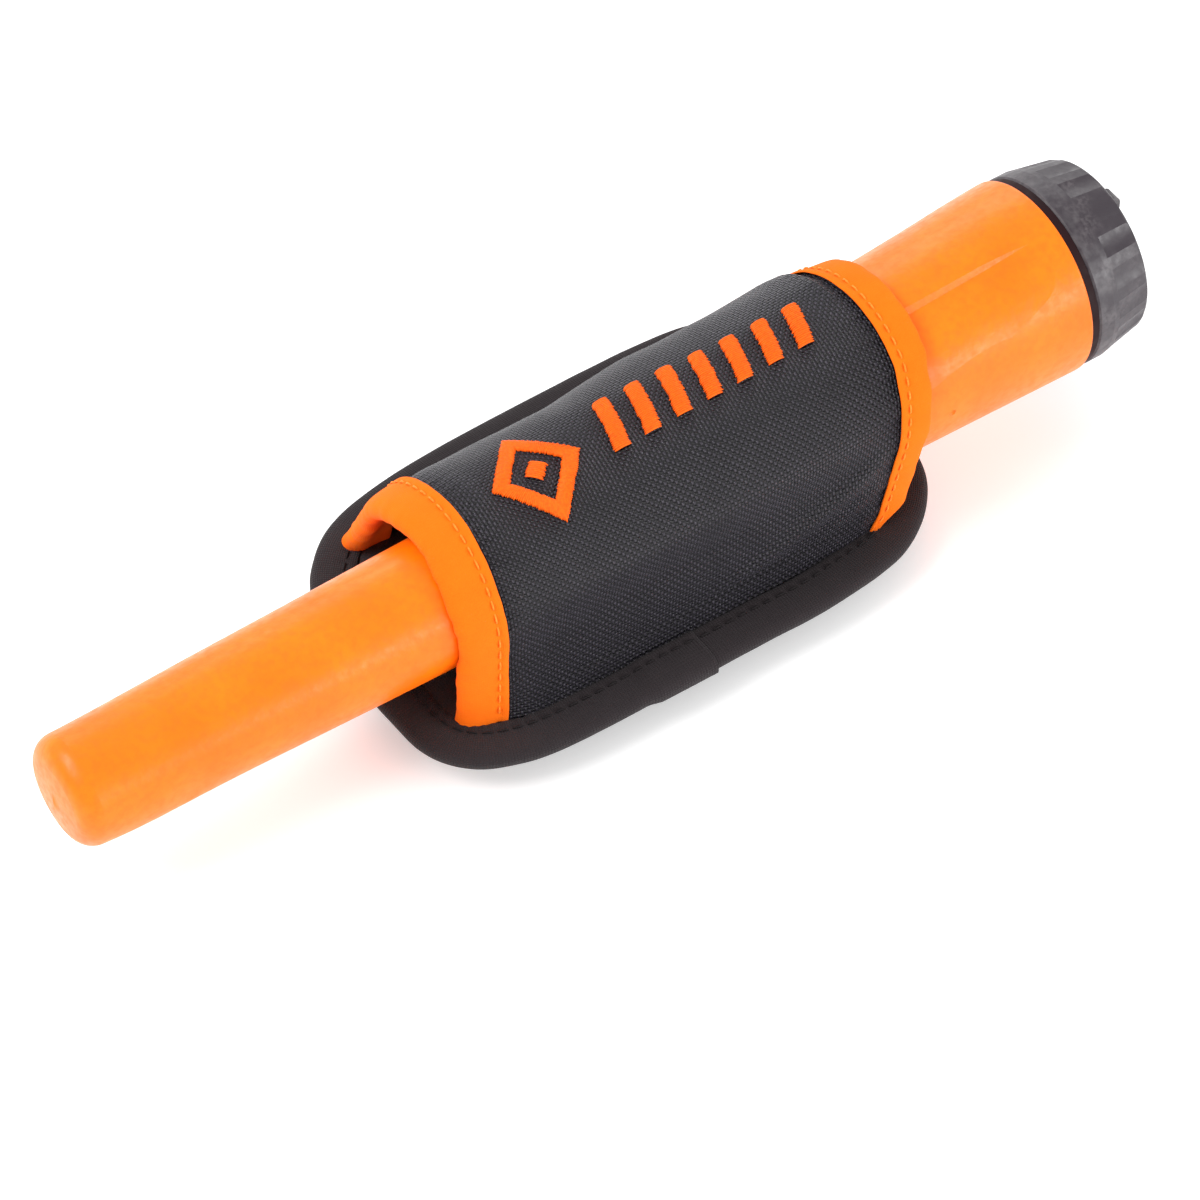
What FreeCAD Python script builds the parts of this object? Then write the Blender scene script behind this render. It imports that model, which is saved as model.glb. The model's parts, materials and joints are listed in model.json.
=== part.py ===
import FreeCAD, Part
import math
import os
import re
from types import SimpleNamespace

import Sketcher
from FreeCAD import Placement, Rotation, Vector

# A handheld pinpointer probe in its belt holster.
# +X runs from the sensing tip to the battery cap, +Z is up with the belt loop at the bottom,
# and the origin is under the middle of the whole object, on the surface it lies on.

doc = FreeCAD.newDocument("pinpointer_probe")
sheet = doc.addObject("Spreadsheet::Sheet", "Dimensions")

DIMENSIONS = {
    "probe line and outer form": {
        "probe_y": -7.1,          # the probe lies off the middle of the holster
        "tip_x": -120.0,
        "tip_z": 26.7,            # height of the slim part's axis
        "tip_radius": 11.0,
        "tip_taper": 0.0205,      # radius gained per mm towards the handle
        "tip_round": 4.3,         # rounding between the tip's side and its end
        "tip_dome": 45.0,         # radius of the slightly domed end
        "seam_x": 99.8,           # where the battery cap meets the housing
        "seam_z": 31.2,           # height of the handle's axis at the seam
        "seam_radius": 20.3,
        "handle_taper": 0.042,
        "handle_rise": 0.044,     # climb of the handle's axis per mm
        "blend_start_x": -30.0,   # the slim part turns into the handle between these two
        "blend_end_x": 50.0,
        "wall": 2.2,
        "end_round": 0.5,
        "gate_mark_x": 67.1,      # dimple left on the flank by the moulding gate
        "gate_mark_radius": 0.9,
        "gate_mark_depth": 0.4,
    },
    "thumb scallop": {
        "scallop_start_x": 44.0,
        "scallop_late_x": 82.0,
        "scallop_end_x": 98.0,
        "scallop_depth": 1.5,
        "scallop_late_depth": 0.9,
        "scallop_runout": 0.6,    # the cutter ends this far above the surface
        "scallop_top_angle": 11.0,
        "scallop_low_angle": 66.0,
        "scallop_crease": 8.0,    # the step at the crease slopes down over this angle
    },
    "cavities": {
        "coil_bore_radius": 8.6,
        "coil_bore_start_x": -117.0,
        "cavity_start_x": -48.0,
        "bay_start_x": 55.0,
        "bay_radius": 15.2,
        "neck_radius": 16.9,
        "neck_length": 8.0,
        "thread_pitch": 3.0,
        "thread_height": 0.5,
        "thread_width": 1.2,
        "thread_turns": 1.25,
    },
    "coils": {
        "former_radius": 5.6,
        "flange_radius": 8.5,
        "flange_width": 1.2,
        "former_start_x": -116.5,
        "former_length": 66.0,
        "rod_radius": 4.0,
        "rod_length": 60.0,
        "transmit_radius": 7.6,
        "transmit_length": 20.0,
        "receive_radius": 7.0,
        "receive_length": 12.0,
        "plug_length": 4.0,
    },
    "board and carrier": {
        "board_start_x": -22.0,
        "board_length": 66.0,
        "board_width": 18.0,
        "board_z": 30.0,
        "board_thickness": 1.2,
        "carrier_half_width": 7.5,
        "carrier_wall": 1.2,
        "carrier_floor_z": 20.5,
        "carrier_start_x": -24.0,
        "carrier_length": 76.0,
        "post_radius": 2.2,
        "front_post_x": -18.0,
        "rear_post_x": 22.5,
        "screw_radius": 1.0,
        "screw_head_radius": 1.9,
        "screw_head_height": 1.1,
        "screw_length": 7.0,
    },
    "power button, lamp and sounder": {
        "button_x": 14.5,
        "button_tilt": 7.4,
        "button_radius": 6.0,
        "button_travel": 0.7,
        "button_gap": 0.25,
        "key_height": 1.0,
        "flange_top": -2.25,
        "flange_thickness": 0.9,
        "flange_edge": 1.4,       # the flange is wider than the key by this much all round
        "plunger_radius": 1.5,
        "plunger_gap": 0.3,       # left over the switch with the button pressed fully
        "seal_play": 0.03,
        "collar_radius": 8.4,
        "collar_height": 0.4,
        "switch_size": 6.0,
        "switch_height": 3.5,
        "switch_stem_radius": 1.6,
        "switch_stem_height": 1.4,
        "window_x": 33.5,
        "window_radius": 2.5,
        "lamp_radius": 1.5,
        "lamp_height": 5.3,
        "sounder_x": -10.5,
        "sounder_radius": 5.0,
        "sounder_height": 4.6,
        "port_radius": 0.6,
        "port_circle": 2.4,
    },
    "vibration motor": {
        "motor_start_x": 27.0,
        "motor_length": 11.0,
        "motor_radius": 3.4,
        "motor_z": 26.0,
        "shaft_radius": 0.5,
        "shaft_play": 0.04,
        "weight_radius": 3.0,
        "weight_length": 4.0,
    },
    "battery": {
        "battery_height": 26.2,
        "battery_width": 17.2,
        "battery_length": 46.0,
        "battery_corner": 2.9,
        "battery_start_x": 64.3,
        "terminal_length": 2.2,
        "contact_length": 2.6,
        "bulkhead_radius": 15.1,
        "bulkhead_thickness": 2.6,
    },
    "battery cap": {
        "cap_length": 15.2,
        "cap_radius": 20.0,
        "cap_end_radius": 18.2,
        "cap_bore_radius": 17.6,
        "cap_roof": 2.0,
        "cap_round": 1.4,
        "seal_thickness": 1.7,
        "seal_radius": 19.8,
        "pad_thickness": 2.2,
        "flute_count": 18,
        "flute_radius": 9.0,
        "flute_depth": 0.45,
        "flute_start_depth": 0.65,
        "flute_length": 8.5,
        "eye_length": 5.0,
        "eye_width": 6.0,
        "eye_thickness": 3.0,
        "eye_hole_radius": 1.6,
        "eye_hole_height": 2.5,
        "eye_rise": 9.3,          # the lanyard eye stands above the cap's axis
    },
    "holster back": {
        "panel_length": 121.0,
        "panel_middle_x": 7.3,
        "panel_width": 76.6,
        "corner_near_tip": 19.0,  # the panel's four corners, near meaning -Y
        "corner_near_cap": 25.0,
        "corner_far_cap": 19.0,
        "corner_far_tip": 30.0,
        "panel_bottom_z": 6.8,
        "back_thickness": 0.5,
        "foam_thickness": 1.8,
        "lining_thickness": 0.5,
        "tape_thickness": 0.6,
        "edge_tape_width": 8.5,
        "loop_width": 46.0,
        "loop_thickness": 1.5,
        "loop_middle_x": 7.3,
        "loop_length": 92.0,
        "loop_tab": 11.0,
        "loop_rise": 8.0,
    },
    "holster front": {
        "mouth_z": 24.4,           # centre of the arch at the tip-end mouth
        "mouth_y": -3.2,
        "mouth_radius": 21.8,
        "grip_radius": 21.0,       # arch at the cap end, close round the handle
        "grip_z": 29.8,
        "near_foot_y": -27.8,
        "far_foot_y": 29.0,
        "shell_start_x": -42.6,
        "shell_end_x": 58.9,
        "shell_thickness": 0.8,
        "shell_lining_thickness": 0.4,
        "mouth_lean": 7.5,         # the arch leans towards the cap by this angle
        "grip_lean": 6.0,
        "mouth_tape_width": 7.1,
        "grip_tape_width": 6.9,
        "mouth_pinch": 2.4,        # the tip-end mouth closes in by this much over its top
        "near_pinch": 4.5,         # and by this much at its near foot
        "pinch_length": 12.0,
        "mouth_tape_thickness": 0.5,
    },
}

value = {}
row = 1
for heading, cells in DIMENSIONS.items():
    sheet.set(f"A{row}", heading)
    row += 1
    for alias, number in cells.items():
        sheet.set(f"A{row}", alias)
        sheet.set(f"B{row}", str(number))
        sheet.setAlias(f"B{row}", alias)
        value[alias] = number
        row += 1
doc.recompute()


d = SimpleNamespace(**value)
Y_AXIS = Vector(0, 1, 0)
Z_AXIS = Vector(0, 0, 1)
ALONG_X = Rotation(Y_AXIS, 90)      # turns a cylinder's axis from Z to X
parts = {}


# ---- helpers -------------------------------------------------------------------------------

def cell(expression):
    """The expression with each alias in it written as a reference to the sheet."""
    def reference(match):
        word = match.group(0)
        return f"Dimensions.{word}" if word in value else word
    return re.sub(r"[a-z][a-z_0-9]*", reference, str(expression))


def bind(thing, **expressions):
    """Binds properties to the sheet; a double underscore in a name stands for a dot."""
    for name, expression in expressions.items():
        thing.setExpression(name.replace("__", "."), cell(expression))
    return thing


def move(thing, x="0", y="probe_y", z="0"):
    return bind(thing, Placement__Base__x=x, Placement__Base__y=y, Placement__Base__z=z)


def rod(name, x, z, length, radius, y="probe_y"):
    """A cylinder along X that starts at x."""
    thing = doc.addObject("Part::Cylinder", name)
    thing.Placement = Placement(Vector(), ALONG_X)
    bind(thing, Radius=radius, Height=length)
    return move(thing, x, y, z)


def post(name, x, z, height, radius, y="probe_y"):
    """A cylinder along Z that stands on z."""
    thing = doc.addObject("Part::Cylinder", name)
    bind(thing, Radius=radius, Height=height)
    return move(thing, x, y, z)


def block(name, x, z, length, width, height, y="probe_y"):
    """A box that starts at x, stands on z and is centred on y."""
    thing = doc.addObject("Part::Box", name)
    bind(thing, Length=length, Width=width, Height=height)
    return move(thing, x, f"{y} - ({width}) / 2", z)


def cut(name, base, *tools):
    """The base less each tool in turn."""
    for index, tool in enumerate(tools):
        thing = doc.addObject("Part::Cut", f"{name}_{index}")
        thing.Base = base
        thing.Tool = tool
        base = thing
    return base


def fuse(name, *shapes):
    thing = doc.addObject("Part::MultiFuse", name)
    thing.Shapes = list(shapes)
    return thing


def group(name, *shapes):
    """Separate solids kept in one node."""
    thing = doc.addObject("Part::Compound", name)
    thing.Links = list(shapes)
    return thing


def node(name, thing):
    """Marks a finished sub-part, which is written to a file of that name."""
    thing.Label = name
    parts[name] = thing
    return thing


def new_body(name, x="0", y="probe_y", z="0"):
    return move(doc.addObject("PartDesign::Body", f"{name}_body"), x, y, z)


def sketch_on(body, name, role):
    plane = next(f for f in body.Origin.OriginFeatures if f.Role == role)
    sketch = body.newObject("Sketcher::SketchObject", name)
    sketch.AttachmentSupport = (plane, [""])
    sketch.MapMode = "FlatFace"
    return sketch


def add_circle(sketch, radius, across=None, up=None):
    """A circle at the sketch's origin, or at the given distances from it."""
    index = sketch.addGeometry(Part.Circle(Vector(), Z_AXIS, 1.0), False)
    size = sketch.addConstraint(Sketcher.Constraint("Radius", index, 1.0))
    bind(sketch, **{f"Constraints[{size}]": radius})
    for kind, distance in (("DistanceX", across), ("DistanceY", up)):
        if distance is not None:
            place = sketch.addConstraint(Sketcher.Constraint(kind, -1, 1, index, 3, 1.0))
            bind(sketch, **{f"Constraints[{place}]": distance})
    if across is None and up is None:
        sketch.addConstraint(Sketcher.Constraint("Coincident", index, 3, -1, 1))
    return sketch


def ring_sketch(body, name, radius, x, z="0"):
    """A circle in a plane across X."""
    sketch = sketch_on(body, name, "YZ_Plane")
    bind(sketch, AttachmentOffset__Base__y=z, AttachmentOffset__Base__z=x)
    return add_circle(sketch, radius)


def polygon_sketch(body, name, role, corners):
    """A closed outline whose corners are pairs of expressions."""
    sketch = sketch_on(body, name, role)
    count = len(corners)
    turn = [2 * math.pi * i / count for i in range(count + 1)]
    start = [Vector(math.cos(angle), math.sin(angle), 0) for angle in turn]
    for i in range(count):
        sketch.addGeometry(Part.LineSegment(start[i], start[i + 1]), False)
    for i in range(count):
        sketch.addConstraint(Sketcher.Constraint("Coincident", i, 2, (i + 1) % count, 1))
    for i, corner in enumerate(corners):
        for kind, distance in zip(("DistanceX", "DistanceY"), corner):
            index = sketch.addConstraint(Sketcher.Constraint(kind, -1, 1, i, 1, 1.0))
            bind(sketch, **{f"Constraints[{index}]": distance})
    return sketch


def extrude(body, kind, sketch, length, backwards=False, midplane=False):
    """A Pad or Pocket of the sketch."""
    feature = body.newObject(f"PartDesign::{kind}", f"{sketch.Name}_{kind.lower()}")
    feature.Profile = sketch
    feature.Reversed = backwards
    if midplane:
        feature.SideType = "Symmetric"
    bind(feature, Length=length)
    return feature


def revolve(body, kind, sketch):
    """A full Revolution or Groove about the sketch's horizontal axis."""
    feature = body.newObject(f"PartDesign::{kind}", f"{sketch.Name}_{kind.lower()}")
    feature.Profile = sketch
    feature.ReferenceAxis = (sketch, ["H_Axis"])
    feature.Angle = 360
    return feature


def loft(body, kind, sketches):
    feature = body.newObject(f"PartDesign::{kind}", f"{sketches[0].Name}_loft")
    feature.Profile = sketches[0]
    feature.Sections = sketches[1:]
    return feature


def edges_at(feature, test):
    """Names of the feature's edges whose every end and middle point passes the test."""
    found = []
    for index, edge in enumerate(feature.Shape.Edges, 1):
        first, last = edge.ParameterRange
        points = [edge.valueAt(first), edge.valueAt((first + last) / 2), edge.valueAt(last)]
        if all(test(point) for point in points):
            found.append(f"Edge{index}")
    return found


def round_edges(body, feature, kind, size, test):
    """Fillets or chamfers the edges of the body's last feature that pass the test."""
    doc.recompute()
    rounding = body.newObject(f"PartDesign::{kind}", f"{feature.Name}_{kind.lower()}")
    rounding.Base = (feature, edges_at(feature, test))
    bind(rounding, **{"Radius" if kind == "Fillet" else "Size": size})
    return rounding


# ---- the probe's outer form ----------------------------------------------------------------

def blend_share(x):
    """0 on the slim part, 1 on the handle and a smooth step between them."""
    share = (x - d.blend_start_x) / (d.blend_end_x - d.blend_start_x)
    share = min(1.0, max(0.0, share))
    return share * share * (3 - 2 * share)


def outer_radius(x):
    slim = d.tip_radius + d.tip_taper * (x - d.tip_x)
    handle = d.seam_radius - d.handle_taper * (d.seam_x - x)
    return slim + (handle - slim) * blend_share(x)


def axis_height(x):
    handle = d.seam_z - d.handle_rise * (d.seam_x - x)
    return d.tip_z + (handle - d.tip_z) * blend_share(x)


def radius_cell(x):
    share = round(blend_share(x), 5)
    return (f"(1 - {share}) * (tip_radius + tip_taper * ({x} - tip_x))"
            f" + {share} * (seam_radius - handle_taper * (seam_x - {x}))")


def height_cell(x):
    share = round(blend_share(x), 5)
    return f"(1 - {share}) * tip_z + {share} * (seam_z - handle_rise * (seam_x - {x}))"


def on_top(x, y=0.0, depth=0.0):
    """A placement on the crest of the housing, its Z along the button's axis."""
    turned = Rotation(Y_AXIS, -d.button_tilt)
    crest = Vector(x, y, axis_height(x) + outer_radius(x))
    return Placement(crest + turned.multVec(Vector(0, 0, depth)), turned)


def sketch_on_top(body, name, x, depth):
    sketch = sketch_on(body, name, "XY_Plane")
    sketch.AttachmentOffset = on_top(x, 0.0, depth)
    return sketch


def tip_profile(body):
    """Half section of the rounded end: a slightly domed face and a rounding, tangent to each other."""
    corner_y = d.tip_radius + d.tip_taper * d.tip_round - d.tip_round
    reach = d.tip_dome - d.tip_round
    corner_x = d.tip_dome - math.sqrt(reach ** 2 - corner_y ** 2)
    lean = math.asin(corner_y / reach)
    meet = Vector(d.tip_dome * (1 - math.cos(lean)), d.tip_dome * math.sin(lean), 0)
    side = Vector(corner_x, corner_y + d.tip_round, 0)
    middle = (math.pi + math.pi / 2 - lean) / 2
    on_corner = Vector(corner_x + d.tip_round * math.cos(middle),
                       corner_y + d.tip_round * math.sin(middle), 0)
    on_dome = Vector(d.tip_dome * (1 - math.cos(lean / 2)), d.tip_dome * math.sin(lean / 2), 0)
    foot = Vector(corner_x, 0, 0)
    sketch = sketch_on(body, "tip_profile", "XZ_Plane")
    bind(sketch, AttachmentOffset__Base__x="tip_x", AttachmentOffset__Base__y="tip_z")
    sketch.addGeometry(Part.Arc(Vector(), on_dome, meet), False)
    sketch.addGeometry(Part.Arc(meet, on_corner, side), False)
    sketch.addGeometry(Part.LineSegment(side, foot), False)
    sketch.addGeometry(Part.LineSegment(foot, Vector()), False)
    return sketch, d.tip_x + corner_x


def scallop_section(x, depth):
    """The thumb scallop's cutting outline at x: a step at the crease and a floor that runs out."""
    centre_z = axis_height(x)
    radius = outer_radius(x)

    def at(angle, out):
        turn = math.radians(angle)
        reach = radius + out
        return Vector(x, d.probe_y - reach * math.sin(turn), centre_z + reach * math.cos(turn))

    clear = 2.0
    middle = (d.scallop_top_angle + d.scallop_low_angle) / 2
    top_out, top_in = at(d.scallop_top_angle, clear), at(d.scallop_top_angle + d.scallop_crease, -depth)
    low_in, low_out = at(d.scallop_low_angle, max(0.05, -depth)), at(d.scallop_low_angle, clear)
    floor = Part.Arc(top_in, at(middle, -depth * 0.42), low_in).toShape()
    back = Part.Arc(low_out, at(middle, clear), top_out).toShape()
    return Part.Wire([Part.makeLine(top_out, top_in), floor, Part.makeLine(low_in, low_out), back])


def housing_shell():
    body = new_body("housing")
    profile, straight_x = tip_profile(body)
    revolve(body, "Revolution", profile)

    stations = [round(straight_x, 4), -92.0, -68.0, -46.0, d.blend_start_x, -14.0, 2.0, 18.0, 34.0,
                d.blend_end_x, 66.0, 82.0, d.seam_x]
    outer = [ring_sketch(body, f"outer_{i}", radius_cell(x), x, height_cell(x))
             for i, x in enumerate(stations)]
    form = loft(body, "AdditiveLoft", outer)
    round_edges(body, form, "Fillet", "end_round",
                lambda p: abs(p.x - d.seam_x) < 0.01)

    neck = ring_sketch(body, "neck", "neck_radius", "seam_x - 1", "seam_z")
    extrude(body, "Pad", neck, "neck_length + 1")
    collar = add_circle(sketch_on_top(body, "collar", d.button_x, d.collar_height), "collar_radius")
    extrude(body, "Pad", collar, "collar_height + 3.6", backwards=True)

    inner_x = [d.cavity_start_x, -30.0, -14.0, 2.0, 18.0, 34.0]
    inner = [ring_sketch(body, f"inner_{i}", f"{radius_cell(x)} - wall", x, height_cell(x))
             for i, x in enumerate(inner_x)]
    inner.append(ring_sketch(body, "inner_end", "bay_radius - 1.4", "bay_start_x + 0.5", "seam_z - 1"))
    loft(body, "SubtractiveLoft", inner)
    bore = ring_sketch(body, "coil_bore", "coil_bore_radius", "cavity_start_x + 1", "tip_z")
    extrude(body, "Pocket", bore, "cavity_start_x + 1 - coil_bore_start_x")
    bay = ring_sketch(body, "battery_bay", "bay_radius", "seam_x + neck_length", "seam_z")
    extrude(body, "Pocket", bay, "seam_x + neck_length - bay_start_x")

    hole = add_circle(sketch_on_top(body, "button_hole", d.button_x, 3.0), "button_radius + button_gap")
    extrude(body, "Pocket", hole, "9")
    recess = add_circle(sketch_on_top(body, "button_recess", d.button_x, -2.0), "button_radius + 1.8")
    extrude(body, "Pocket", recess, "3")
    window = add_circle(sketch_on_top(body, "window_hole", d.window_x, 2.0), "window_radius + 0.05")
    extrude(body, "Pocket", window, "6")
    ports = sketch_on_top(body, "sounder_ports", d.sounder_x, 2.0)
    add_circle(ports, "port_radius")
    for i, (across, up) in enumerate(((1, 0), (0, 1), (-1, 0), (0, -1))):
        add_circle(ports, "port_radius", f"{across} * port_circle", f"{up} * port_circle")
    extrude(body, "Pocket", ports, "6")

    thread = polygon_sketch(body, "thread_profile", "XZ_Plane", [
        ("0", "neck_radius - 0.2"),
        ("thread_width", "neck_radius - 0.2"),
        ("thread_width * 0.7", "neck_radius + thread_height"),
        ("thread_width * 0.3", "neck_radius + thread_height")])
    bind(thread, AttachmentOffset__Base__x="seam_x + 2", AttachmentOffset__Base__y="seam_z")
    helix = body.newObject("PartDesign::AdditiveHelix", "thread")
    helix.Profile = thread
    helix.ReferenceAxis = (thread, ["H_Axis"])
    helix.Mode = "pitch-height-angle"
    bind(helix, Pitch="thread_pitch", Height="thread_pitch * thread_turns")

    scallop = doc.addObject("Part::Feature", "scallop_tool")
    scallop.Shape = Part.makeLoft([scallop_section(d.scallop_start_x, d.scallop_depth),
                                   scallop_section(d.scallop_late_x, d.scallop_late_depth),
                                   scallop_section(d.scallop_end_x, -d.scallop_runout)], True, True)
    gate = doc.addObject("Part::Sphere", "gate_mark")
    bind(gate, Radius="gate_mark_radius")
    flank = f"probe_y - ({radius_cell(d.gate_mark_x)}) - gate_mark_radius + gate_mark_depth"
    move(gate, "gate_mark_x", flank, height_cell(d.gate_mark_x))
    node("housing_shell", cut("housing_shell", body, scallop, gate))


# ---- search coil ---------------------------------------------------------------------------

def search_coil():
    body = new_body("coil_former", z="tip_z")
    core = ring_sketch(body, "core", "former_radius", "former_start_x")
    extrude(body, "Pad", core, "former_length")
    share = "(former_length - flange_width)"
    for i, along in enumerate(("0", f"{share} * 0.28", f"{share} * 0.68", share)):
        flange = ring_sketch(body, f"flange_{i}", "flange_radius", f"former_start_x + {along}")
        extrude(body, "Pad", flange, "flange_width")
    bore = ring_sketch(body, "rod_bore", "rod_radius + 0.1", "former_start_x + former_length")
    extrude(body, "Pocket", bore, "rod_length + 3")
    node("coil_former", body)

    node("ferrite_rod", rod("ferrite_rod", "former_start_x + 4", "tip_z", "rod_length", "rod_radius"))

    def winding(name, along, length, radius):
        start = f"former_start_x + {along}"
        wire = rod(f"{name}_wire", start, "tip_z", length, radius)
        core_hole = rod(f"{name}_hole", f"{start} - 1", "tip_z", f"{length} + 2", "former_radius")
        return cut(name, wire, core_hole)

    node("transmit_coil", winding("transmit_coil", "22", "transmit_length", "transmit_radius"))
    node("receive_coils", group("receive_coils",
                                winding("front_coil", "3.4", "receive_length", "receive_radius"),
                                winding("rear_coil", "49", "receive_length", "receive_radius")))
    node("potting_plug", rod("potting_plug", "former_start_x + former_length + 0.2", "tip_z",
                             "plug_length", "coil_bore_radius - 0.1"))


def pipe(name, points, radius, bend):
    """A wire of that radius along the points, with its corners rounded to the bend."""
    edges = []
    start = points[0]
    for before, corner, after in zip(points, points[1:], points[2:]):
        back, ahead = (before - corner).normalize(), (after - corner).normalize()
        half = back.getAngle(ahead) / 2
        trim = bend / math.tan(half)
        inward = (back + ahead).normalize()
        first, last = corner + back * trim, corner + ahead * trim
        middle = corner + inward * (bend / math.sin(half) - bend)
        edges.append(Part.makeLine(start, first))
        edges.append(Part.Arc(first, middle, last).toShape())
        start = last
    edges.append(Part.makeLine(start, points[-1]))
    path = Part.Wire(edges)
    section = Part.Wire([Part.Circle(points[0], points[1] - points[0], radius).toShape()])
    thing = doc.addObject("Part::Feature", name)
    thing.Shape = path.makePipeShell([section], True, True)
    return thing


def coil_leads():
    start_x = d.former_start_x + d.former_length + 0.2 + d.plug_length
    board_top = d.board_z + d.board_thickness
    wires = []
    for i, across in enumerate((-2.4, 0.0, 2.4)):
        y = d.probe_y + across
        wires.append(pipe(f"coil_lead_{i}", [
            Vector(start_x, y, d.tip_z + 1),
            Vector(start_x + 9, y, d.tip_z + 1),
            Vector(start_x + 15, y, board_top + 1.6),
            Vector(d.board_start_x + 1.2, y, board_top + 1.6),
            Vector(d.board_start_x + 1.2, y, board_top)], 0.4, 1.2))
    node("coil_leads", group("coil_leads", *wires))


# ---- carrier and circuit board -------------------------------------------------------------

def carrier():
    body = new_body("carrier")
    profile = polygon_sketch(body, "carrier_profile", "YZ_Plane", [
        ("-carrier_half_width", "carrier_floor_z"),
        ("carrier_half_width", "carrier_floor_z"),
        ("carrier_half_width", "board_z"),
        ("carrier_half_width - carrier_wall", "board_z"),
        ("carrier_half_width - carrier_wall", "carrier_floor_z + carrier_wall"),
        ("carrier_wall - carrier_half_width", "carrier_floor_z + carrier_wall"),
        ("carrier_wall - carrier_half_width", "board_z"),
        ("-carrier_half_width", "board_z")])
    bind(profile, AttachmentOffset__Base__z="carrier_start_x")
    extrude(body, "Pad", profile, "carrier_length")
    posts = sketch_on(body, "posts", "XY_Plane")
    bind(posts, AttachmentOffset__Base__z="carrier_floor_z + 0.5")
    for x in ("front_post_x", "rear_post_x"):
        add_circle(posts, "post_radius", x, "0")
    extrude(body, "Pad", posts, "board_z - carrier_floor_z - 0.5")
    holes = sketch_on(body, "screw_holes", "XY_Plane")
    bind(holes, AttachmentOffset__Base__z="board_z")
    for x in ("front_post_x", "rear_post_x"):
        add_circle(holes, "screw_radius", x, "0")
    extrude(body, "Pocket", holes, "screw_length - board_thickness")
    node("carrier", body)


def circuit_board():
    plate = block("board_plate", "board_start_x", "board_z", "board_length", "board_width", "board_thickness")
    holes = [post(f"board_hole_{x}", x, "board_z - 1", "board_thickness + 2", "screw_radius + 0.1")
             for x in ("front_post_x", "rear_post_x")]
    node("circuit_board", cut("circuit_board", plate, *holes))

    top = "board_z + board_thickness"
    screws = []
    for i, x in enumerate(("front_post_x", "rear_post_x")):
        head = post(f"screw_head_{i}", x, top, "screw_head_height", "screw_head_radius")
        shank = post(f"screw_shank_{i}", x, f"{top} - screw_length", "screw_length", "screw_radius")
        screws.append(fuse(f"screw_{i}", head, shank))
    node("board_screws", group("board_screws", *screws))

    chips = [
        ("processor", "3", "0", "7", "7", "1.2"),
        ("amplifier", "-4.5", "5", "5", "4", "1.4"),
        ("regulator", "29.5", "5.4", "5", "5", "1.8"),
        ("choke", "25.5", "-5.5", "6", "6", "3"),
        ("inductor", "37", "-4.5", "5", "5", "2.6"),
    ]
    pieces = [block(name, x, top, length, width, height, f"probe_y + {y}")
              for name, x, y, length, width, height in chips]
    for i, x in enumerate(("-4", "23.5", "38.5")):
        pieces.append(post(f"capacitor_{i}", x, top, "5.2", "2", f"probe_y + {5.6 if i else -4.4}"))
    for i in range(3):
        pieces.append(block(f"resistor_{i}", f"{-14 + i * 2.6}", top, "1", "2", "0.6", "probe_y - 6.6"))
    node("board_components", group("board_components", *pieces))

    switch_x = "button_x"
    base = block("switch_base", f"{switch_x} - switch_size / 2", top,
                 "switch_size", "switch_size", "switch_height")
    stem = post("switch_stem", switch_x, f"{top} + switch_height", "switch_stem_height", "switch_stem_radius")
    node("tactile_switch", fuse("tactile_switch", base, stem))

    lamp_base = post("lamp_base", "window_x", top, "1.4", "lamp_radius + 0.4")
    lamp_stem = post("lamp_stem", "window_x", top, "lamp_height", "lamp_radius")
    lamp_dome = doc.addObject("Part::Sphere", "lamp_dome")
    bind(lamp_dome, Radius="lamp_radius")
    move(lamp_dome, "window_x", "probe_y", f"{top} + lamp_height")
    node("lamp", fuse("lamp", lamp_base, lamp_stem, lamp_dome))

    can = post("sounder_can", "sounder_x", top, "sounder_height", "sounder_radius")
    mouth = post("sounder_mouth", "sounder_x", f"{top} + sounder_height - 0.8", "2", "1.2")
    node("sounder", cut("sounder", can, mouth))
    ring = post("gasket_ring", "sounder_x", f"{top} + sounder_height", "1", "sounder_radius - 0.6")
    ring_hole = post("gasket_hole", "sounder_x", f"{top} + sounder_height - 1", "3", "sounder_radius - 2")
    node("sounder_gasket", cut("sounder_gasket", ring, ring_hole))


def lamp_window():
    lens = doc.addObject("Part::Cylinder", "lens")
    bind(lens, Radius="window_radius", Height="3.2")
    lens.Placement = on_top(d.window_x, d.probe_y, -2.9)
    rounded = doc.addObject("Part::Fillet", "lens_rounded")
    rounded.Base = lens
    doc.recompute()
    rim = next(i for i, edge in enumerate(lens.Shape.Edges, 1)
               if edge.isClosed() and edge.CenterOfMass.z > lens.Shape.CenterOfMass.z)
    rounded.Edges = [(rim, 0.8, 0.8)]
    node("lamp_window", rounded)


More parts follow.
